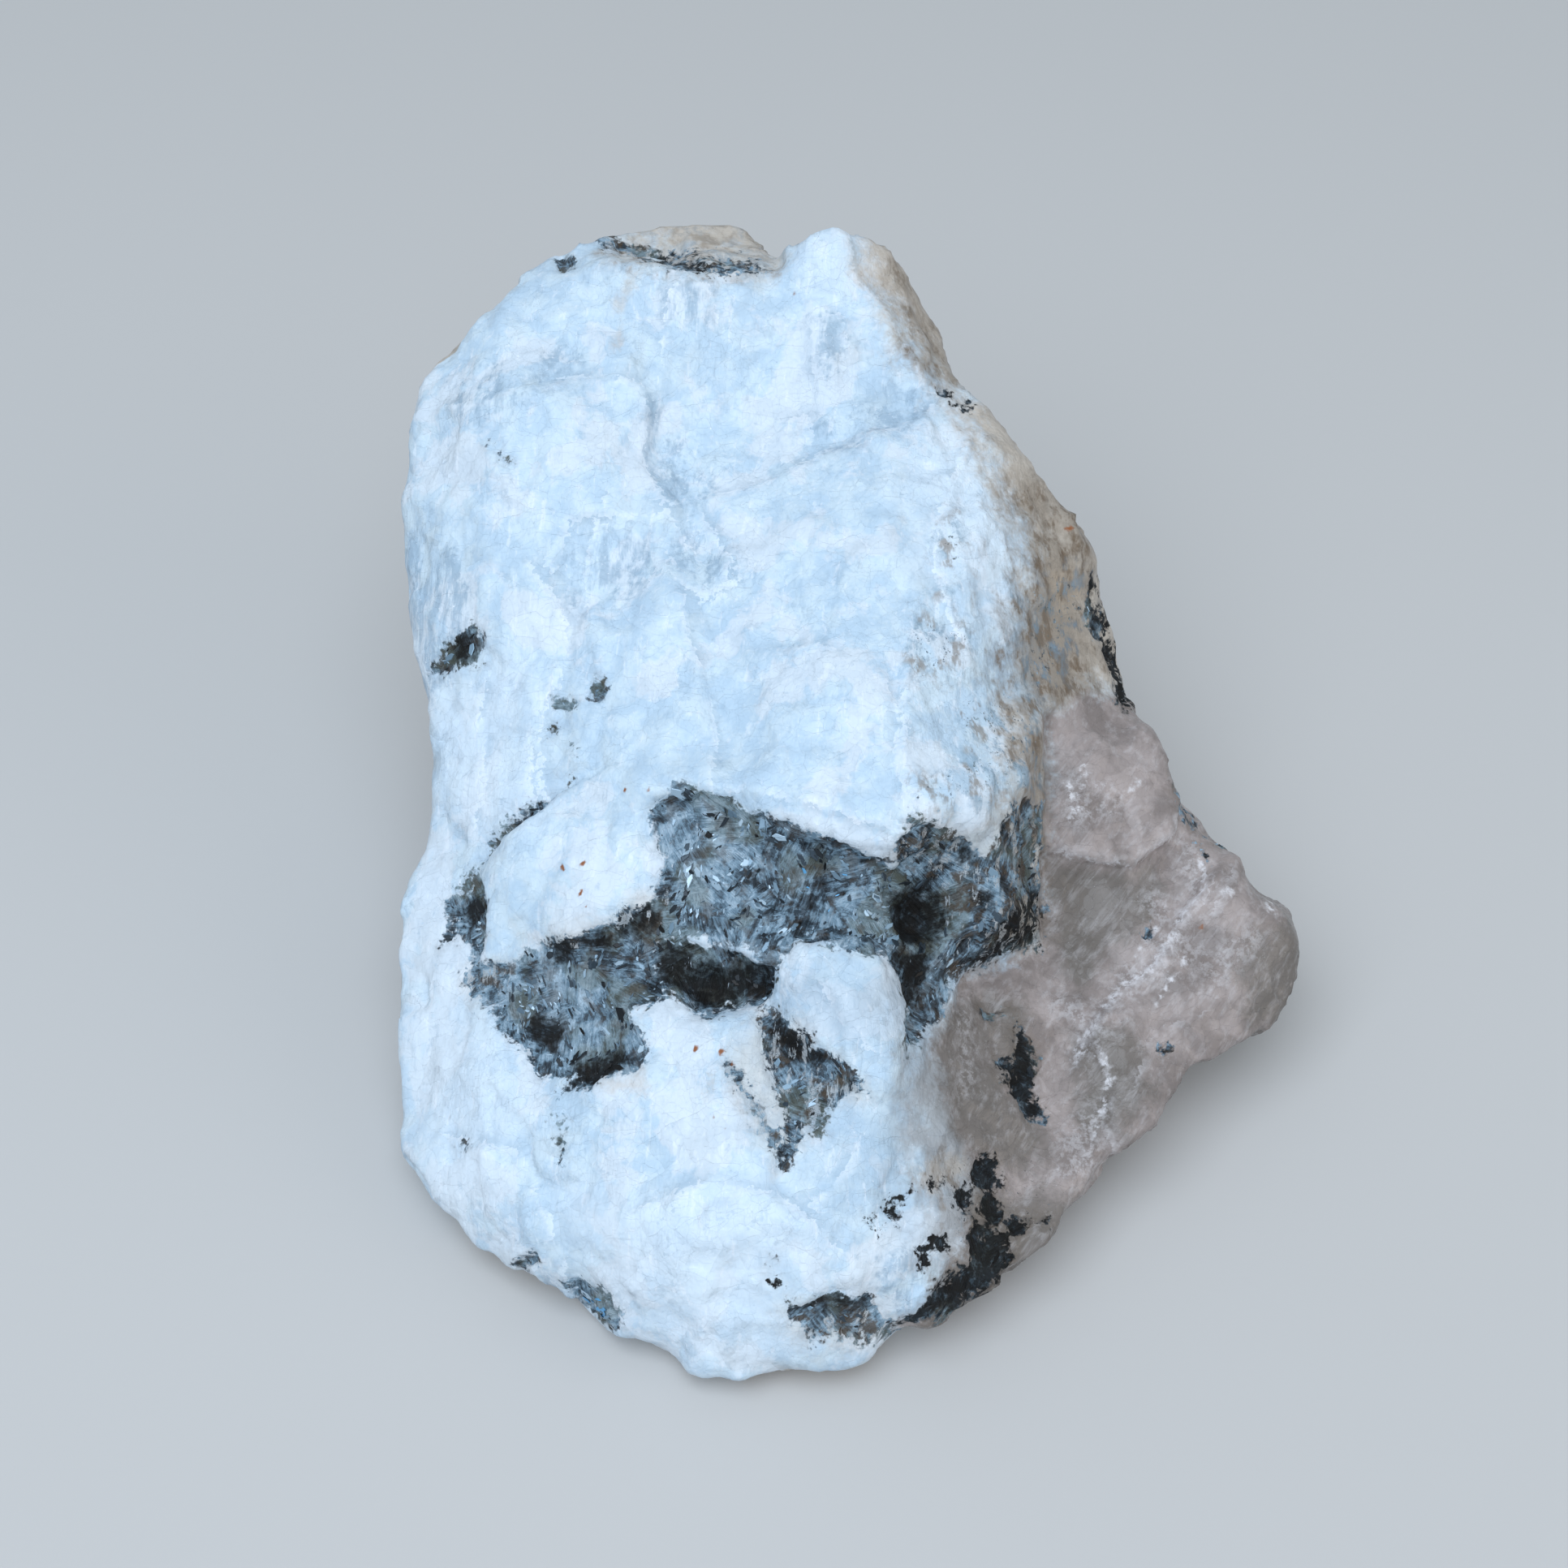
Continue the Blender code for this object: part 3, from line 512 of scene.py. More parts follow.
broken = np.zeros(count)
edge_gap = np.full(count, 6.0)
edge_side = np.full(count, 6.0)
for depth, line in CRACKS:
    gap, _ = nearest_on_line(line)
    broken -= depth * np.exp(-((gap * sheet_unit / MM / CRACK_WIDTH) ** 2))
for height, line in LEDGES:
    gap, side = nearest_on_line(line)
    gap_mm = gap * sheet_unit / MM
    broken += height / 2 * side * np.minimum(1, gap_mm / LEDGE_RUN) * np.exp(-gap_mm / LEDGE_FADE)
    edge_side = np.where(gap_mm < edge_gap, gap_mm * side, edge_side)
    edge_gap = np.minimum(gap_mm, edge_gap)
edge_gap = seen(edge_gap)
broken *= np.clip((facing + 0.1) * 5, 0, 1)
for height, x, y, radius in BULGES:
    off = np.hypot(sheet[:, 0] - x, sheet[:, 1] - y) / radius
    broken += height * np.exp(-off * off) * ramp(facing, -0.6, -0.1)


# The grain of each mineral, as heights in mm
CLEAVAGES = [(Vector((0.18, 0.66, 0.73)), 3.4, 0.2), (Vector((0.97, 0.12, -0.2)), 2.7, 0.16)]
MICA_DEPTH = 0.5


def facet_grain(place, size, slope):
    """Flat facets of a size in mm that break off against each other at crisp edges, each with its tilt."""
    middle = noise.voronoi(place / size)[1][0]
    tilt = noise.cell_vector(middle * 97) - Vector((0.5, 0.5, 0.5))
    return (place / size - middle).dot(tilt) * size * slope


def feldspar_grain(place):
    height = noise.fractal(place / 3, 0.6, 2, 4) * 0.16
    warped = place + noise.noise_vector(place / 6) * 1.5
    height += facet_grain(Vector((warped.x, warped.y * 0.55, warped.z * 0.55)), 3.6, 0.26)
    height += facet_grain(warped, 1.7, 0.09)
    for number, (across, step, rise) in enumerate(CLEAVAGES):
        shift = Vector((5 * number, 0, 9))
        stair = place.dot(across) / step + noise.noise(place / 8 + shift) * 1.6
        patch = min(1, max(0, noise.noise(place / 9 - shift) * 3 + 0.3))
        height += ((stair - math.floor(stair)) - 0.5) * rise * patch
    return height


def quartz_grain(place):
    warped = place + noise.noise_vector(place / 5) * 2
    return facet_grain(warped, 5.5, 0.2) + facet_grain(warped, 2.4, 0.12) - abs(noise.noise(place / 4)) * 0.2


def mica_grain(place):
    book = noise.cell(Vector((place.x / 0.9, place.y / 1.2, place.z / 1.2)))
    return noise.noise(place / 2.4) * 0.5 + book * 0.35 - MICA_DEPTH


in_mica = ramp(-mica, -0.2, 0.35)
in_quartz = ramp(-quartz, -0.5, 0.5)
heights = np.empty(count)
for i in range(count):
    place = Vector(places[i] / MM)
    height = feldspar_grain(place)
    if in_quartz[i] > 0:
        height += (quartz_grain(place) - height) * in_quartz[i]
    if in_mica[i] > 0:
        height += (mica_grain(place) - height) * in_mica[i]
    heights[i] = height
heights += broken
on_base = (places[:, 2] < 0.4 * MM) & (normals[:, 2] < -0.8)
heights[on_base] = 0
places += normals * heights[:, None] * MM
stone.data.vertices.foreach_set("co", places.astype(np.float32).ravel())
for name, values in {
    "mica": mica, "dark": dark, "mixed": mixed, "silver": silver, "quartz": quartz, "deep": deep,
    "smoke": smoke, "weathered_and_shaded": weathered_and_shaded, "stained_and_shaded": stained_and_shaded, "tan": tan, "rust": rust, "pepper": pepper,
    "veins": veins, "milk": milk, "hazy": hazy, "painted_light": painted_light, "painted_shade": painted_shade, "edge_gap": edge_gap,
    "edge_side": edge_side,
}.items():
    layer = stone.data.attributes.new(name, "FLOAT", "POINT")
    layer.data.foreach_set("value", np.clip(values, -6, 6).astype(np.float32))
stone.data.update()

bm = bmesh.new()
bm.from_mesh(stone.data)
cut = bmesh.ops.bisect_plane(
    bm, geom=bm.verts[:] + bm.edges[:] + bm.faces[:], dist=0.0001 * MM,
    plane_co=(0, 0, SITTING_CUT), plane_no=(0, 0, -1), clear_outer=True,
)["geom_cut"]
bmesh.ops.holes_fill(bm, edges=[g for g in cut if isinstance(g, bmesh.types.BMEdge)])
bmesh.ops.translate(bm, vec=(0, 0, -SITTING_CUT), verts=bm.verts)
above_base = [v for v in bm.verts if v.co.z > BASE_RIM]
bmesh.ops.smooth_vert(
    bm, verts=above_base, factor=SPIKE_SMOOTHING, use_axis_x=True, use_axis_y=True, use_axis_z=True)
bm.to_mesh(stone.data)
bm.free()
stone.data.shade_smooth()


# The minerals' surfaces
class Paint:
    """A material's node tree, with short ways to add and join its nodes."""

    def __init__(self, name):
        self.material = bpy.data.materials.new(name)
        self.material.use_nodes = True
        self.nodes = self.material.node_tree.nodes
        self.links = self.material.node_tree.links
        self.surface = self.nodes["Principled BSDF"]
        self.where = self.nodes.new("ShaderNodeTexCoord").outputs["Object"]

    def add(self, kind, sockets, **settings):
        made = self.nodes.new(kind)
        for key, value in settings.items():
            setattr(made, key, value)
        for key, value in sockets.items():
            self.feed(made.inputs[key], value)
        return made

    def feed(self, socket, value):
        if isinstance(value, bpy.types.NodeSocket):
            self.links.new(value, socket)
        else:
            socket.default_value = value

    def attribute(self, name):
        return self.add("ShaderNodeAttribute", {}, attribute_name=name).outputs["Fac"]

    def noise(self, size_mm, detail=3.0, roughness=0.55, where=None):
        sockets = {"Vector": where or self.where, "Scale": 1 / (size_mm * MM), "Detail": detail,
                   "Roughness": roughness}
        return self.add("ShaderNodeTexNoise", sockets).outputs["Fac"]

    def cells(self, size_mm, where):
        return self.add("ShaderNodeTexVoronoi", {"Vector": where, "Scale": 1 / (size_mm * MM)}).outputs

    def drawn_out(self, turn, length):
        """Coordinates that draw a pattern out to a length along the broad face, turned clockwise from up."""
        lie = Matrix.Rotation(FACE_LEAN, 3, "X") @ Matrix.Rotation(-turn, 3, "Z")
        sockets = {"Vector": self.where, "Rotation": lie.to_euler(), "Scale": (1, length, 1)}
        return self.add("ShaderNodeMapping", sockets, vector_type="TEXTURE").outputs["Vector"]

    def sum(self, operation, first, second):
        return self.add("ShaderNodeMath", {0: first, 1: second}, operation=operation).outputs[0]

    def step(self, value, low, high, to_low=0.0, to_high=1.0):
        sockets = {"Value": value, "From Min": low, "From Max": high, "To Min": to_low, "To Max": to_high}
        return self.add("ShaderNodeMapRange", sockets, interpolation_type="SMOOTHSTEP").outputs["Result"]

    def blend(self, share, first, second):
        sockets = {0: share, 6: first, 7: second}
        return self.add("ShaderNodeMix", sockets, data_type="RGBA").outputs[2]

    def mix(self, share, first, second):
        return self.add("ShaderNodeMix", {0: share, 2: first, 3: second}).outputs[0]


def colour(red, green, blue):
    return (red, green, blue, 1.0)


FELDSPAR = colour(0.575, 0.685, 0.765)
FELDSPAR_COOL = colour(0.47, 0.60, 0.72)
FELDSPAR_SMOKE_AND_SHADE = colour(0.32, 0.43, 0.535)
FELDSPAR_MILK = colour(0.655, 0.71, 0.77)
FELDSPAR_PAINTED_LIGHT = colour(0.69, 0.775, 0.86)
FELDSPAR_FIBRE_AND_HIGHLIGHT_WHITE = colour(0.80, 0.84, 0.90)
HAZE = colour(0.315, 0.315, 0.32)
WEATHERED_AND_SHADE_BEIGE = colour(0.485, 0.415, 0.34)
WEATHERED_DARK = colour(0.20, 0.155, 0.115)
STAIN_AND_SHADE_BROWN = colour(0.15, 0.108, 0.072)
TAN = colour(0.50, 0.40, 0.30)
QUARTZ_PALE = colour(0.375, 0.32, 0.305)
QUARTZ_DEEP = colour(0.215, 0.182, 0.17)
QUARTZ_SMOKY = colour(0.135, 0.12, 0.105)
VEIN_AND_HIGHLIGHT_WHITE = colour(0.68, 0.66, 0.68)
MICA_PALE = colour(0.40, 0.52, 0.62)
MICA_SILVER = colour(0.205, 0.31, 0.40)
MICA_GREEN = colour(0.16, 0.185, 0.155)
MICA_SLATE = colour(0.05, 0.07, 0.09)
MICA_BLACK = colour(0.005, 0.0045, 0.004)
MICA_BROWN = colour(0.075, 0.055, 0.038)
MICA_FLASH = colour(0.12, 0.36, 0.62)
RUST = colour(0.27, 0.10, 0.04)

paint = Paint("moonstone_surface")
fine_edge = paint.sum("SUBTRACT", paint.noise(0.55, 3), 0.5)
soft_edge = paint.sum("SUBTRACT", paint.noise(2.2, 5, 0.6), 0.5)


def marked(name, fine, soft, run):
    """1 inside a marked mineral and 0 outside it, with a ragged edge. Reach and run in mm."""
    ragged = paint.sum("ADD", paint.attribute(name), paint.sum("MULTIPLY", fine_edge, fine))
    ragged = paint.sum("ADD", ragged, paint.sum("MULTIPLY", soft_edge, soft))
    return paint.step(ragged, run, -run)


def facets(size_mm, slope, where):
    """Heights in mm of small flat cleavage facets, each with its own tilt."""
    cell = paint.cells(size_mm, where)
    off = {0: where, 1: cell["Position"]}
    off = paint.add("ShaderNodeVectorMath", off, operation="SUBTRACT").outputs[0]
    tilt = {0: cell["Color"], 1: (0.5, 0.5, 0.5)}
    tilt = paint.add("ShaderNodeVectorMath", tilt, operation="SUBTRACT").outputs[0]
    rise = paint.add("ShaderNodeVectorMath", {0: off, 1: tilt}, operation="DOT_PRODUCT")
    return paint.sum("MULTIPLY", rise.outputs["Value"], slope / MM)


def shade_of_cells(size_mm, where):
    """A random shade from 0 to 1 for each cell of a size."""
    return paint.add("ShaderNodeSeparateColor", {"Color": paint.cells(size_mm, where)["Color"]}).outputs[0]


# Feldspar: bluish white and cloudy, with smokier patches, fine upright fibres and painted glints that stand
# for small cleavage faces catching the light
grain = paint.drawn_out(0.05, 5)
warp = paint.add("ShaderNodeTexNoise", {"Vector": paint.where, "Scale": 1 / (3 * MM), "Detail": 1.5})
warp_by = {0: warp.outputs["Color"], 1: (1.6 * MM, 1.6 * MM, 1.6 * MM)}
warp_by = paint.add("ShaderNodeVectorMath", warp_by, operation="MULTIPLY").outputs[0]
warped = paint.add("ShaderNodeVectorMath", {0: paint.where, 1: warp_by}, operation="ADD").outputs[0]
fibres = paint.noise(0.9, 3, 0.65, where=grain)
crystal = paint.noise(3.2, 5, 0.66, where=warped)
base = paint.blend(paint.step(crystal, 0.40, 0.62), FELDSPAR_COOL, FELDSPAR)
cloudy = paint.step(paint.noise(8, 5, 0.62, where=warped), 0.50, 0.56, 0.0, 0.7)
base = paint.blend(cloudy, base, FELDSPAR_MILK)
# Painted light: these patches are painted whiter than the feldspar round them.
base = paint.blend(paint.sum("MULTIPLY", marked("painted_light", 1.0, 5.0, 4.0), 0.6), base, FELDSPAR_PAINTED_LIGHT)
# Painted shade: these patches are painted darker with the smoky grey feldspar colour.
base = paint.blend(paint.sum("MULTIPLY", marked("painted_shade", 1.0, 4.0, 2.4), 0.45), base, FELDSPAR_SMOKE_AND_SHADE)
base = paint.blend(paint.step(fibres, 0.58, 0.70, 0.0, 0.22), base, FELDSPAR_SMOKE_AND_SHADE)
shards = paint.noise(1.5, 4, 0.72, where=grain)
smoky = paint.sum("MULTIPLY", marked("smoke", 2.6, 5.0, 0.9), paint.step(shards, 0.40, 0.58, 1.0, 0.0))
base = paint.blend(paint.sum("MULTIPLY", smoky, 0.85), base, FELDSPAR_SMOKE_AND_SHADE)
base = paint.blend(paint.step(fibres, 0.30, 0.42, 0.4, 0.0), base, FELDSPAR_FIBRE_AND_HIGHLIGHT_WHITE)
patchy = paint.noise(1.5, 4, 0.68)
base = paint.blend(paint.step(patchy, 0.60, 0.70, 0.0, 0.35), base, FELDSPAR_SMOKE_AND_SHADE)
# Painted light and shade along the ledge lines: a thin painted highlight on each ledge's high side and
# painted shade fading from its low side.
edge_wander = paint.sum("ADD", paint.sum("MULTIPLY", fine_edge, 1.2), paint.sum("MULTIPLY", soft_edge, 1.6))
edge_side = paint.sum("ADD", paint.attribute("edge_side"), edge_wander)
edge_near = paint.step(paint.attribute("edge_gap"), 2.0, 0.5)
edge_patchy = paint.sum("MULTIPLY", edge_near, paint.step(paint.noise(2.5, 3), 0.38, 0.55))
edge_lit = paint.sum("MULTIPLY", paint.step(edge_side, -0.02, 0.06), paint.step(edge_side, 1.1, 0.1))
edge_shade = paint.sum("MULTIPLY", paint.step(edge_side, -1.8, -0.05), paint.step(edge_side, 0.06, -0.02))
edge_lit = paint.sum("MULTIPLY", edge_patchy, edge_lit)
edge_shade = paint.sum("MULTIPLY", edge_patchy, edge_shade)
base = paint.blend(paint.sum("MULTIPLY", edge_shade, 0.32), base, FELDSPAR_SMOKE_AND_SHADE)
base = paint.blend(paint.sum("MULTIPLY", edge_lit, 0.35), base, FELDSPAR_FIBRE_AND_HIGHLIGHT_WHITE)
base = paint.blend(paint.sum("MULTIPLY", marked("hazy", 1.0, 4.0, 1.8), 0.85), base, HAZE)
# Painted glints: rare white specks stand for tiny cleavage faces that catch the light.
painted_glints = paint.sum("ADD", paint.noise(0.35, 4, 0.8), paint.sum("MULTIPLY", smoky, 0.03))
base = paint.blend(paint.step(painted_glints, 0.65, 0.70, 0.0, 0.75), base, FELDSPAR_FIBRE_AND_HIGHLIGHT_WHITE)
short_grain = paint.drawn_out(0.05, 2.2)
streaky = paint.noise(1.4, 4, 0.7, where=short_grain)
streaks = paint.step(streaky, 0.44, 0.66)
# Beige skin with darker streaks, partly weathering and partly painted shade on the flanks.
skin = paint.blend(paint.sum("MULTIPLY", streaks, 0.35), WEATHERED_AND_SHADE_BEIGE, WEATHERED_DARK)
base = paint.blend(paint.sum("MULTIPLY", marked("weathered_and_shaded", 2.5, 5.0, 2.6), 0.9), base, skin)
# Brown streaks, partly stain and partly painted shade, darken the right flank further.
stain_and_shade_streaks = paint.step(streaks, 0.0, 1.0, 0.55, 1.0)
base = paint.blend(paint.sum("MULTIPLY", marked("stained_and_shaded", 2.0, 5.0, 2.4), stain_and_shade_streaks), base, STAIN_AND_SHADE_BROWN)
base = paint.blend(paint.sum("MULTIPLY", marked("tan", 1.2, 2.2, 0.8), 0.4), base, TAN)
peppered = marked("pepper", 1.5, 3.5, 1.6)
smudges = paint.sum("MULTIPLY", peppered, paint.step(streaky, 0.46, 0.62))
smudge_colour = paint.blend(paint.step(paint.noise(2.2, 1), 0.44, 0.56), WEATHERED_DARK, MICA_SILVER)
base = paint.blend(paint.sum("MULTIPLY", smudges, 0.68), base, smudge_colour)
in_mixed_here = marked("mixed", 1.0, 2.5, 1.4)
base = paint.blend(paint.sum("MULTIPLY", in_mixed_here, 0.4), base, WEATHERED_AND_SHADE_BEIGE)
fringe = paint.sum("MULTIPLY", marked("mica", 2.2, 2.6, 1.6), paint.step(patchy, 0.42, 0.58))
base = paint.blend(paint.sum("MULTIPLY", fringe, 0.5), base, HAZE)

# Quartz: clouded pinkish grey, smokier where it is deep, with milky wisps and healed white cracks, and
# painted highlights on its ledges and painted glints
in_quartz_here = marked("quartz", 1.0, 2.2, 0.9)
quartz_cloud = paint.step(paint.noise(5, 4, 0.6, where=warped), 0.38, 0.62)
quartz_colour = paint.blend(quartz_cloud, QUARTZ_DEEP, QUARTZ_PALE)
quartz_lumps = paint.step(shade_of_cells(3.4, warped), 0.3, 1.0, 0.0, 0.35)
quartz_colour = paint.blend(quartz_lumps, quartz_colour, QUARTZ_DEEP)
deeper = paint.sum("MULTIPLY", marked("deep", 1.0, 3.0, 1.2), 0.75)
quartz_colour = paint.blend(deeper, quartz_colour, QUARTZ_SMOKY)
quartz_fibres = paint.drawn_out(0.65, 14)
wisps = paint.step(paint.noise(0.8, 4, 0.66, where=quartz_fibres), 0.48, 0.72, 0.0, 0.2)
quartz_colour = paint.blend(wisps, quartz_colour, VEIN_AND_HIGHLIGHT_WHITE)
crackle = paint.noise(0.7, 3, 0.7)
milky = paint.sum("MULTIPLY", marked("milk", 1.5, 3.0, 1.4), paint.step(crackle, 0.44, 0.60))
quartz_colour = paint.blend(paint.sum("MULTIPLY", milky, 0.3), quartz_colour, VEIN_AND_HIGHLIGHT_WHITE)
frayed = paint.sum("MULTIPLY", marked("veins", 1.4, 0.8, 0.35), paint.step(crackle, 0.36, 0.56))
quartz_colour = paint.blend(paint.sum("MULTIPLY", frayed, 0.9), quartz_colour, VEIN_AND_HIGHLIGHT_WHITE)
# Painted highlights on the ledges' high sides and painted glints, in the white of the veins.
quartz_colour = paint.blend(paint.sum("MULTIPLY", edge_lit, 0.3), quartz_colour, VEIN_AND_HIGHLIGHT_WHITE)
quartz_colour = paint.blend(paint.step(painted_glints, 0.65, 0.71, 0.0, 0.3), quartz_colour, VEIN_AND_HIGHLIGHT_WHITE)
quartz_colour = paint.blend(paint.sum("MULTIPLY", fringe, 0.6), quartz_colour, STAIN_AND_SHADE_BROWN)
base = paint.blend(in_quartz_here, base, quartz_colour)

# Mica: books of fine dark blades, each book with its own grain, from silver and grey-green to brown-black
book_turn = paint.sum("MULTIPLY", shade_of_cells(4, warped), 3.1)
turned = paint.add("ShaderNodeVectorRotate", {
    "Vector": paint.where, "Axis": tuple(FACE_OUT), "Angle": book_turn,
}, rotation_type="AXIS_ANGLE")
blade_grain = paint.add("ShaderNodeMapping", {"Vector": turned.outputs[0], "Scale": (1, 0.12, 0.12)})
blades = paint.noise(0.32, 4, 0.65, where=blade_grain.outputs[0])
mica_cloud = paint.noise(1.9, 5, 0.68, where=warped)
is_silver = marked("silver", 1.0, 3.0, 1.6)
mica_tone = paint.step(mica_cloud, 0.36, 0.66, 0.0, 0.62)
mica_tone = paint.sum("ADD", mica_tone, paint.step(blades, 0.36, 0.70, 0.0, 0.4))
mica_tone = paint.sum("ADD", mica_tone, paint.sum("MULTIPLY", is_silver, 0.28))
mica_ramp = paint.add("ShaderNodeValToRGB", {"Fac": mica_tone})
mica_stops = mica_ramp.color_ramp.elements
mica_stops[0].color = MICA_BLACK
mica_stops[1].color = MICA_PALE
mica_stops.new(0.3).color = MICA_SLATE
mica_stops.new(0.62).color = MICA_SILVER
mica_colour = mica_ramp.outputs["Color"]
mica_colour = paint.blend(paint.step(paint.noise(4.5, 1), 0.50, 0.60, 0.0, 0.45), mica_colour, MICA_GREEN)
browned = paint.step(paint.noise(1.8, 4, 0.6), 0.50, 0.62)
browned = paint.sum("MULTIPLY", browned, paint.mix(in_mixed_here, 0.5, 0.9))
mica_colour = paint.blend(browned, mica_colour, MICA_BROWN)
in_dark_here = marked("dark", 1.6, 2.0, 0.7)
in_dark_grains = paint.step(crackle, 0.50, 0.64, 0.96, 0.80)
mica_colour = paint.blend(paint.sum("MULTIPLY", in_dark_here, in_dark_grains), mica_colour, MICA_BLACK)
in_mica_here = marked("mica", 2.2, 1.6, 0.2)
left_out = paint.mix(in_mixed_here, 0.66, 0.53)
left_out = paint.sum("SUBTRACT", paint.noise(0.9, 4, 0.7, where=grain), left_out)
in_mica_here = paint.sum("MULTIPLY", in_mica_here, paint.step(left_out, 0.0, 0.06, 1.0, 0.2))
peppering = paint.sum("MINIMUM", paint.step(paint.attribute("pepper"), -2.0, 1.2, 0.585, 0.80),
                      paint.step(paint.attribute("mica"), -0.8, 1.7, 0.53, 0.80))
peppering = paint.sum("ADD", peppering, paint.sum("MULTIPLY", in_quartz_here, 0.05))
grains = paint.sum("SUBTRACT", paint.noise(0.6, 4, 0.75), peppering)
in_mica_here = paint.sum("MAXIMUM", in_mica_here, paint.step(grains, 0.0, 0.035, 0.0, 0.85))
base = paint.blend(in_mica_here, base, mica_colour)
base = paint.blend(marked("rust", 0.4, 0.0, 0.12), base, RUST)
paint.feed(paint.surface.inputs["Base Color"], base)

sugary = paint.step(paint.noise(7, 1), 0.42, 0.60)
rough = paint.mix(in_quartz_here, paint.mix(sugary, 0.30, 0.48), 0.24)
rough = paint.mix(in_mica_here, rough, paint.mix(in_dark_here, 0.36, 0.75))
paint.feed(paint.surface.inputs["Roughness"], rough)
paint.surface.inputs["Specular IOR Level"].default_value = 0.27

broad_facets = facets(2.3, 0.22, warped)
small_facets = facets(0.8, 0.2, warped)
sugar_grains = paint.sum("MULTIPLY", paint.noise(0.3, 1, 0.7), 0.025)
feldspar_bump = paint.sum("ADD", paint.sum("MULTIPLY", fibres, 0.12), sugar_grains)
feldspar_bump = paint.sum("ADD", feldspar_bump, small_facets)
feldspar_bump = paint.sum("MULTIPLY", feldspar_bump, paint.step(sugary, 0.0, 1.0, 0.4, 1.2))
feldspar_bump = paint.sum("ADD", feldspar_bump, paint.sum("MULTIPLY", paint.noise(1.4, 2, 0.65), 0.14))
feldspar_bump = paint.sum("ADD", feldspar_bump, broad_facets)
quartz_bump = paint.sum("ADD", broad_facets, small_facets)
quartz_ripples = paint.sum("MULTIPLY", paint.noise(0.6, 2, 0.6, where=quartz_fibres), 0.08)
quartz_bump = paint.sum("ADD", quartz_bump, quartz_ripples)
mica_bump = paint.sum("ADD", paint.sum("MULTIPLY", small_facets, 2.5), paint.sum("MULTIPLY", blades, 0.5))
quartz_share = paint.step(paint.attribute("quartz"), 0.9, -0.9)
mica_share = paint.step(paint.attribute("mica"), 0.2, -0.2)
bump_height = paint.mix(mica_share, paint.mix(quartz_share, feldspar_bump, quartz_bump), mica_bump)
bump = paint.add("ShaderNodeBump", {"Strength": 1.0, "Distance": MM, "Height": bump_height})
paint.feed(paint.surface.inputs["Normal"], bump.outputs["Normal"])
stone.data.materials.clear()
stone.data.materials.append(paint.material)
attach(stone, "root")
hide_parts("moonstone")


# The mica flakes
# Thin angular cleavage flakes of mica that stand loose-edged in the mica nests and catch the light. Each one
# is a closed plate sunk halfway into the stone.
FLAKES = 7500
FLAKE_LENGTH = (0.3, 1.5)
FLAKE_GAPS = -0.02
FLAKE_SLENDERNESS = (0.12, 0.5)
FLAKE_THICKNESS = 0.04
FLAKE_TILT = 0.2
MIXED_SHARE = 0.4
DARK_SHARE = 0.25
BROAD_SHARE = 0.08
BROAD_STRETCH = 1.6
MICA_MARGIN = -0.3
DARK_MARGIN = 0.1
GLASSY_SPOT = (1135, 1130, 28)
FLASH_SPOTS = [(997, 1082, 12), (1020, 1115, 20), (735, 1610, 16), (1040, 1075, 8), (990, 1300, 8)]
BRIGHTEST_TONE = 0.8
MIXED_TONE = 0.75
DARK_TONE = 0.12
FLASH_TONE = 2.0
FLAKE_GLINT = colour(0.52, 0.66, 0.76)

rng = random.Random(5)
skin_places = np.empty(len(stone.data.vertices) * 3, np.float32)
stone.data.vertices.foreach_get("co", skin_places)
skin_places = skin_places.reshape(-1, 3)


def on_skin(name):
    """A mark's value at each point of the finished skin."""
    values = np.empty(len(skin_places), np.float32)
    stone.data.attributes[name].data.foreach_get("value", values)
    return values


skin_dark = on_skin("dark")
skin_mixed = on_skin("mixed")
sheet, sheet_unit = on_sheet(skin_places)
glassy = spots(GLASSY_SPOT) < 0
off_base = skin_places[:, 2] > 2 * BASE_RIM
bearing = np.flatnonzero((on_skin("mica") < MICA_MARGIN) & off_base & ~glassy)
shine = ramp(-on_skin("silver"), -1.2, 1.2)
flash = spots(*FLASH_SPOTS) < 0
bm = bmesh.new()
bmesh.ops.create_cone(bm, cap_ends=True, segments=5, radius1=1, radius2=0.85, depth=1)
plate = bpy.data.meshes.new("mica_plate")
bm.to_mesh(plate)
bm.free()
plate_corners = np.array([v.co for v in plate.vertices])
plate_tone = plate.attributes.new("tone", "FLOAT", "POINT")
bm = bmesh.new()
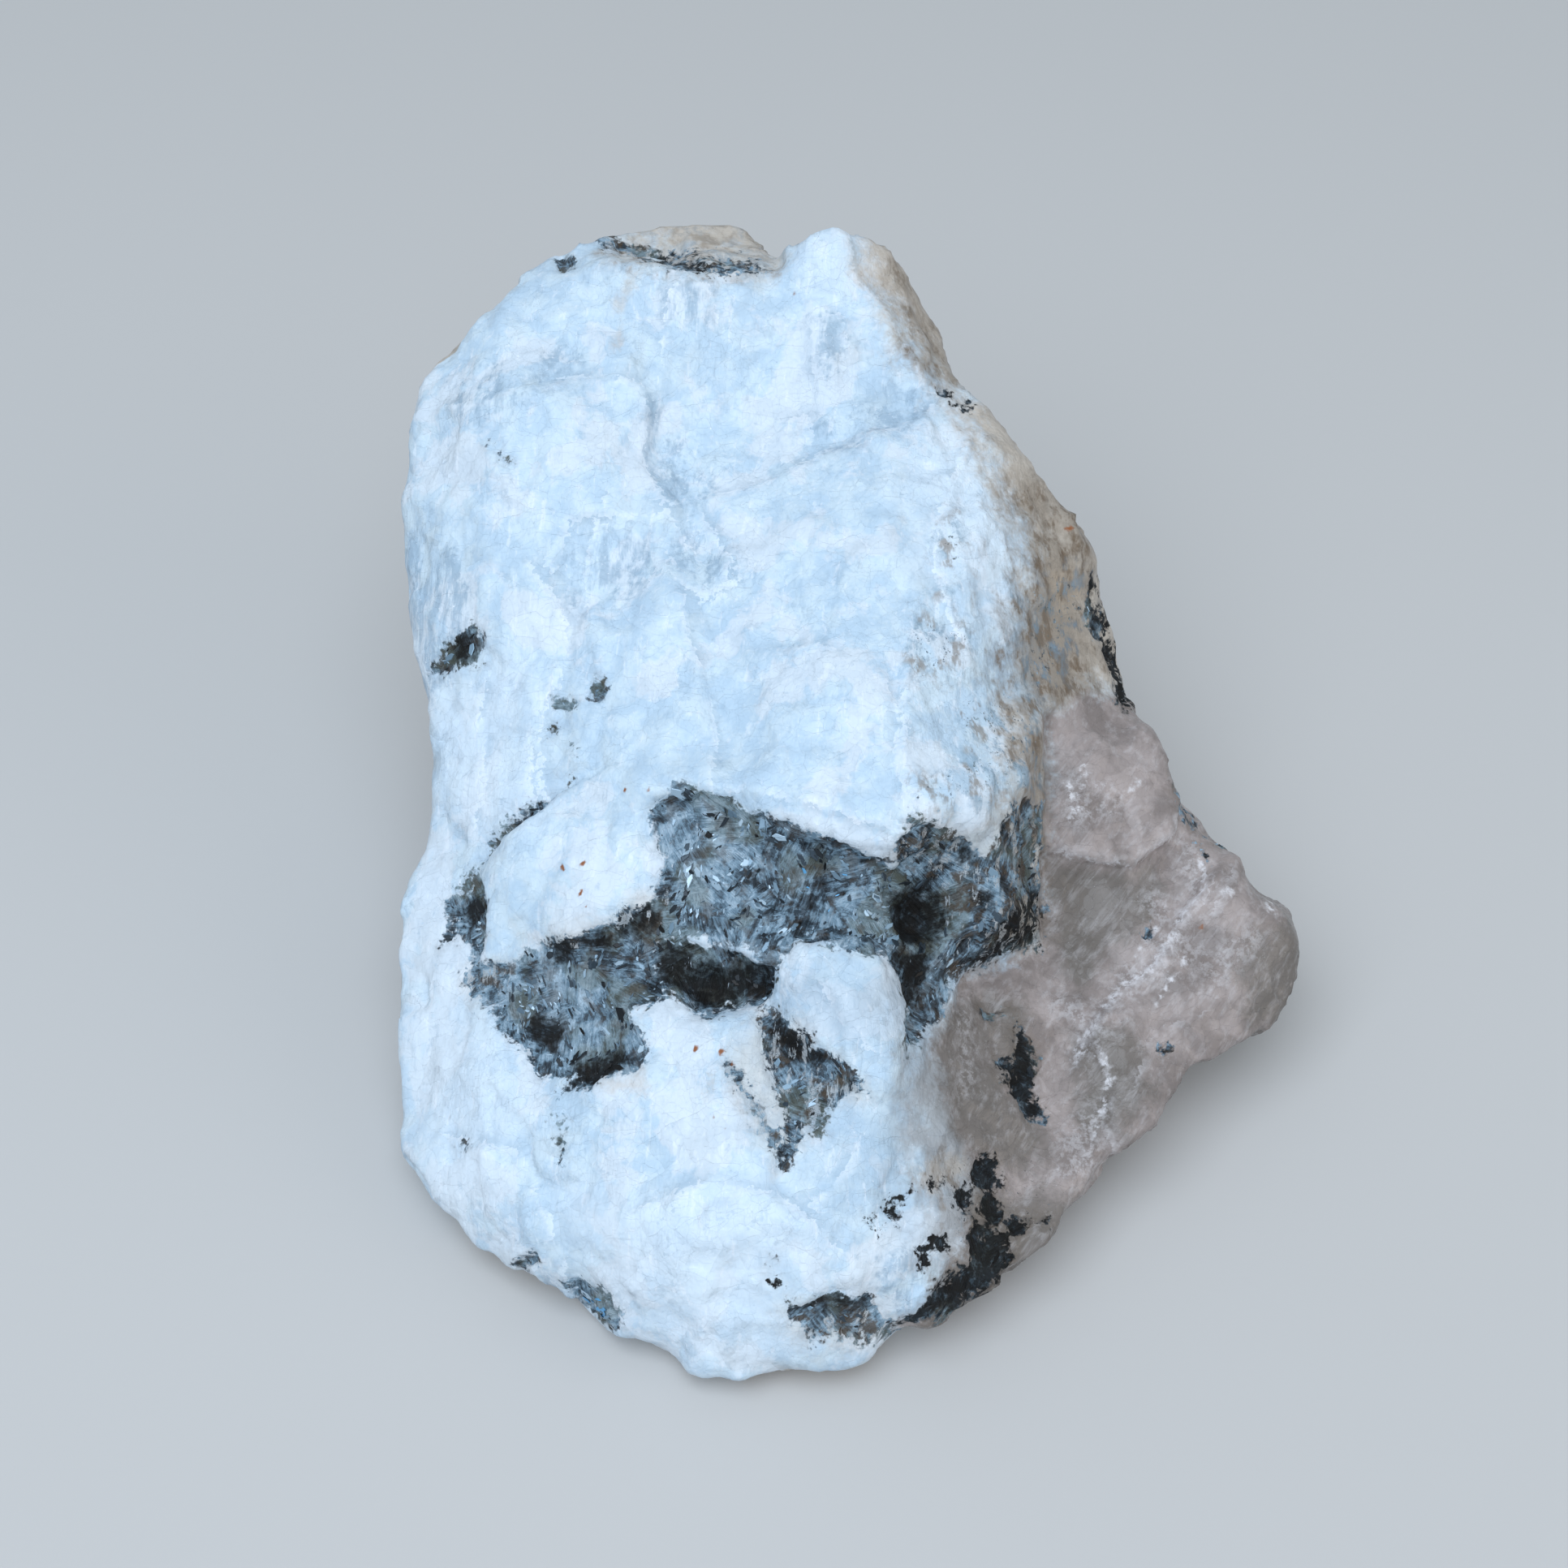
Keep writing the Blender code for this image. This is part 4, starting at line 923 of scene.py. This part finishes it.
for _ in range(FLAKES):
    index = int(bearing[rng.randrange(len(bearing))])
    if skin_mixed[index] < 0 and rng.random() > MIXED_SHARE:
        continue
    in_dark = skin_dark[index] < DARK_MARGIN
    if in_dark and rng.random() > DARK_SHARE:
        continue
    place = Vector(skin_places[index].tolist())
    if noise.noise(place / (1.3 * MM)) < FLAKE_GAPS:
        continue
    upward = Vector(stone.data.vertex_normals[index].vector)
    tilted = (upward + Vector([rng.gauss(0, FLAKE_TILT) for _ in range(3)])).normalized()
    swirl = noise.noise_vector(place / (9 * MM)) * 2 + noise.noise_vector(place / (2.5 * MM)) * 0.6
    along = swirl.cross(tilted).normalized()
    length = rng.uniform(*FLAKE_LENGTH) * MM
    if rng.random() < BROAD_SHARE:
        length *= BROAD_STRETCH
    width = length * rng.uniform(*FLAKE_SLENDERNESS)
    lie = np.array((along * length / 2, tilted.cross(along) * width / 2, tilted * FLAKE_THICKNESS * MM))
    plate.vertices.foreach_set("co", (plate_corners @ lie + np.array(place)).ravel())
    brightness = 0.75 + 0.35 * float(shine[index]) + 0.9 * noise.noise(place / (2 * MM))
    tone = min(rng.betavariate(1.2, 2.2) * brightness, BRIGHTEST_TONE)
    if skin_mixed[index] < 0:
        tone *= MIXED_TONE
    if in_dark:
        tone *= DARK_TONE
    elif flash[index]:
        tone = FLASH_TONE
    plate_tone.data.foreach_set("value", [tone] * len(plate_corners))
    bm.from_mesh(plate)
flakes_mesh = bpy.data.meshes.new("mica_flakes")
bm.to_mesh(flakes_mesh)
bm.free()
flakes = linked(flakes_mesh, "mica_flakes")

paint = Paint("mica_flake")
tone_ramp = paint.add("ShaderNodeValToRGB", {"Fac": paint.attribute("tone")})
stops = tone_ramp.color_ramp.elements
stops[0].color = MICA_BLACK
stops[1].color = FLAKE_GLINT
stops.new(0.18).color = MICA_SLATE
stops.new(0.4).color = MICA_SILVER
stops.new(0.65).color = MICA_PALE
is_flash = paint.sum("GREATER_THAN", paint.attribute("tone"), 1.5)
paint.feed(paint.surface.inputs["Base Color"], paint.blend(is_flash, tone_ramp.outputs["Color"], MICA_FLASH))
paint.surface.inputs["Metallic"].default_value = 0.25
paint.surface.inputs["Roughness"].default_value = 0.3
paint.surface.inputs["Specular IOR Level"].default_value = 0.3
flakes.data.materials.append(paint.material)
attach(flakes, "root")


# The studio
# A plain pale floor, a broad cool light high on the left, and a weak warm one low on the right.
FLOOR_SIDE = 3.0
FLOOR_COLOUR = colour(0.52, 0.51, 0.50)
FLOOR_ROUGHNESS = 0.8
ROOM_TINT = colour(0.80, 0.91, 1.0)
ROOM_STRENGTH = 0.52
LIT_POINT = Vector((0, 0, 0.02))

floor_mesh = bpy.data.meshes.new("floor")
bm = bmesh.new()
bmesh.ops.create_grid(bm, x_segments=1, y_segments=1, size=FLOOR_SIDE / 2)
bm.to_mesh(floor_mesh)
bm.free()
floor = linked(floor_mesh, "floor")
floor_paint = bpy.data.materials.new("floor_paint")
floor_paint.use_nodes = True
floor_surface = floor_paint.node_tree.nodes["Principled BSDF"]
floor_surface.inputs["Base Color"].default_value = FLOOR_COLOUR
floor_surface.inputs["Roughness"].default_value = FLOOR_ROUGHNESS
floor.data.materials.append(floor_paint)


def soft_light(name, place, side, watts, tint):
    lamp = bpy.data.lights.new(name, "AREA")
    lamp.size = side
    lamp.energy = watts
    lamp.color = tint
    holder = bpy.data.objects.new(name, lamp)
    holder.location = place
    aim = LIT_POINT - Vector(place)
    holder.rotation_euler = aim.to_track_quat("-Z", "Y").to_euler()
    bpy.context.scene.collection.objects.link(holder)


soft_light("window", place=(-0.14, -0.38, 0.74), side=0.9, watts=7.55, tint=(0.80, 0.89, 1.0))
soft_light("room", place=(0.7, -0.3, 0.35), side=0.5, watts=0.9, tint=(1.0, 0.86, 0.72))
world = bpy.data.worlds.new("room_light")
world.use_nodes = True
world.node_tree.nodes["Background"].inputs["Color"].default_value = ROOM_TINT
world.node_tree.nodes["Background"].inputs["Strength"].default_value = ROOM_STRENGTH
bpy.context.scene.world = world
bpy.context.scene.view_settings.view_transform = "Standard"
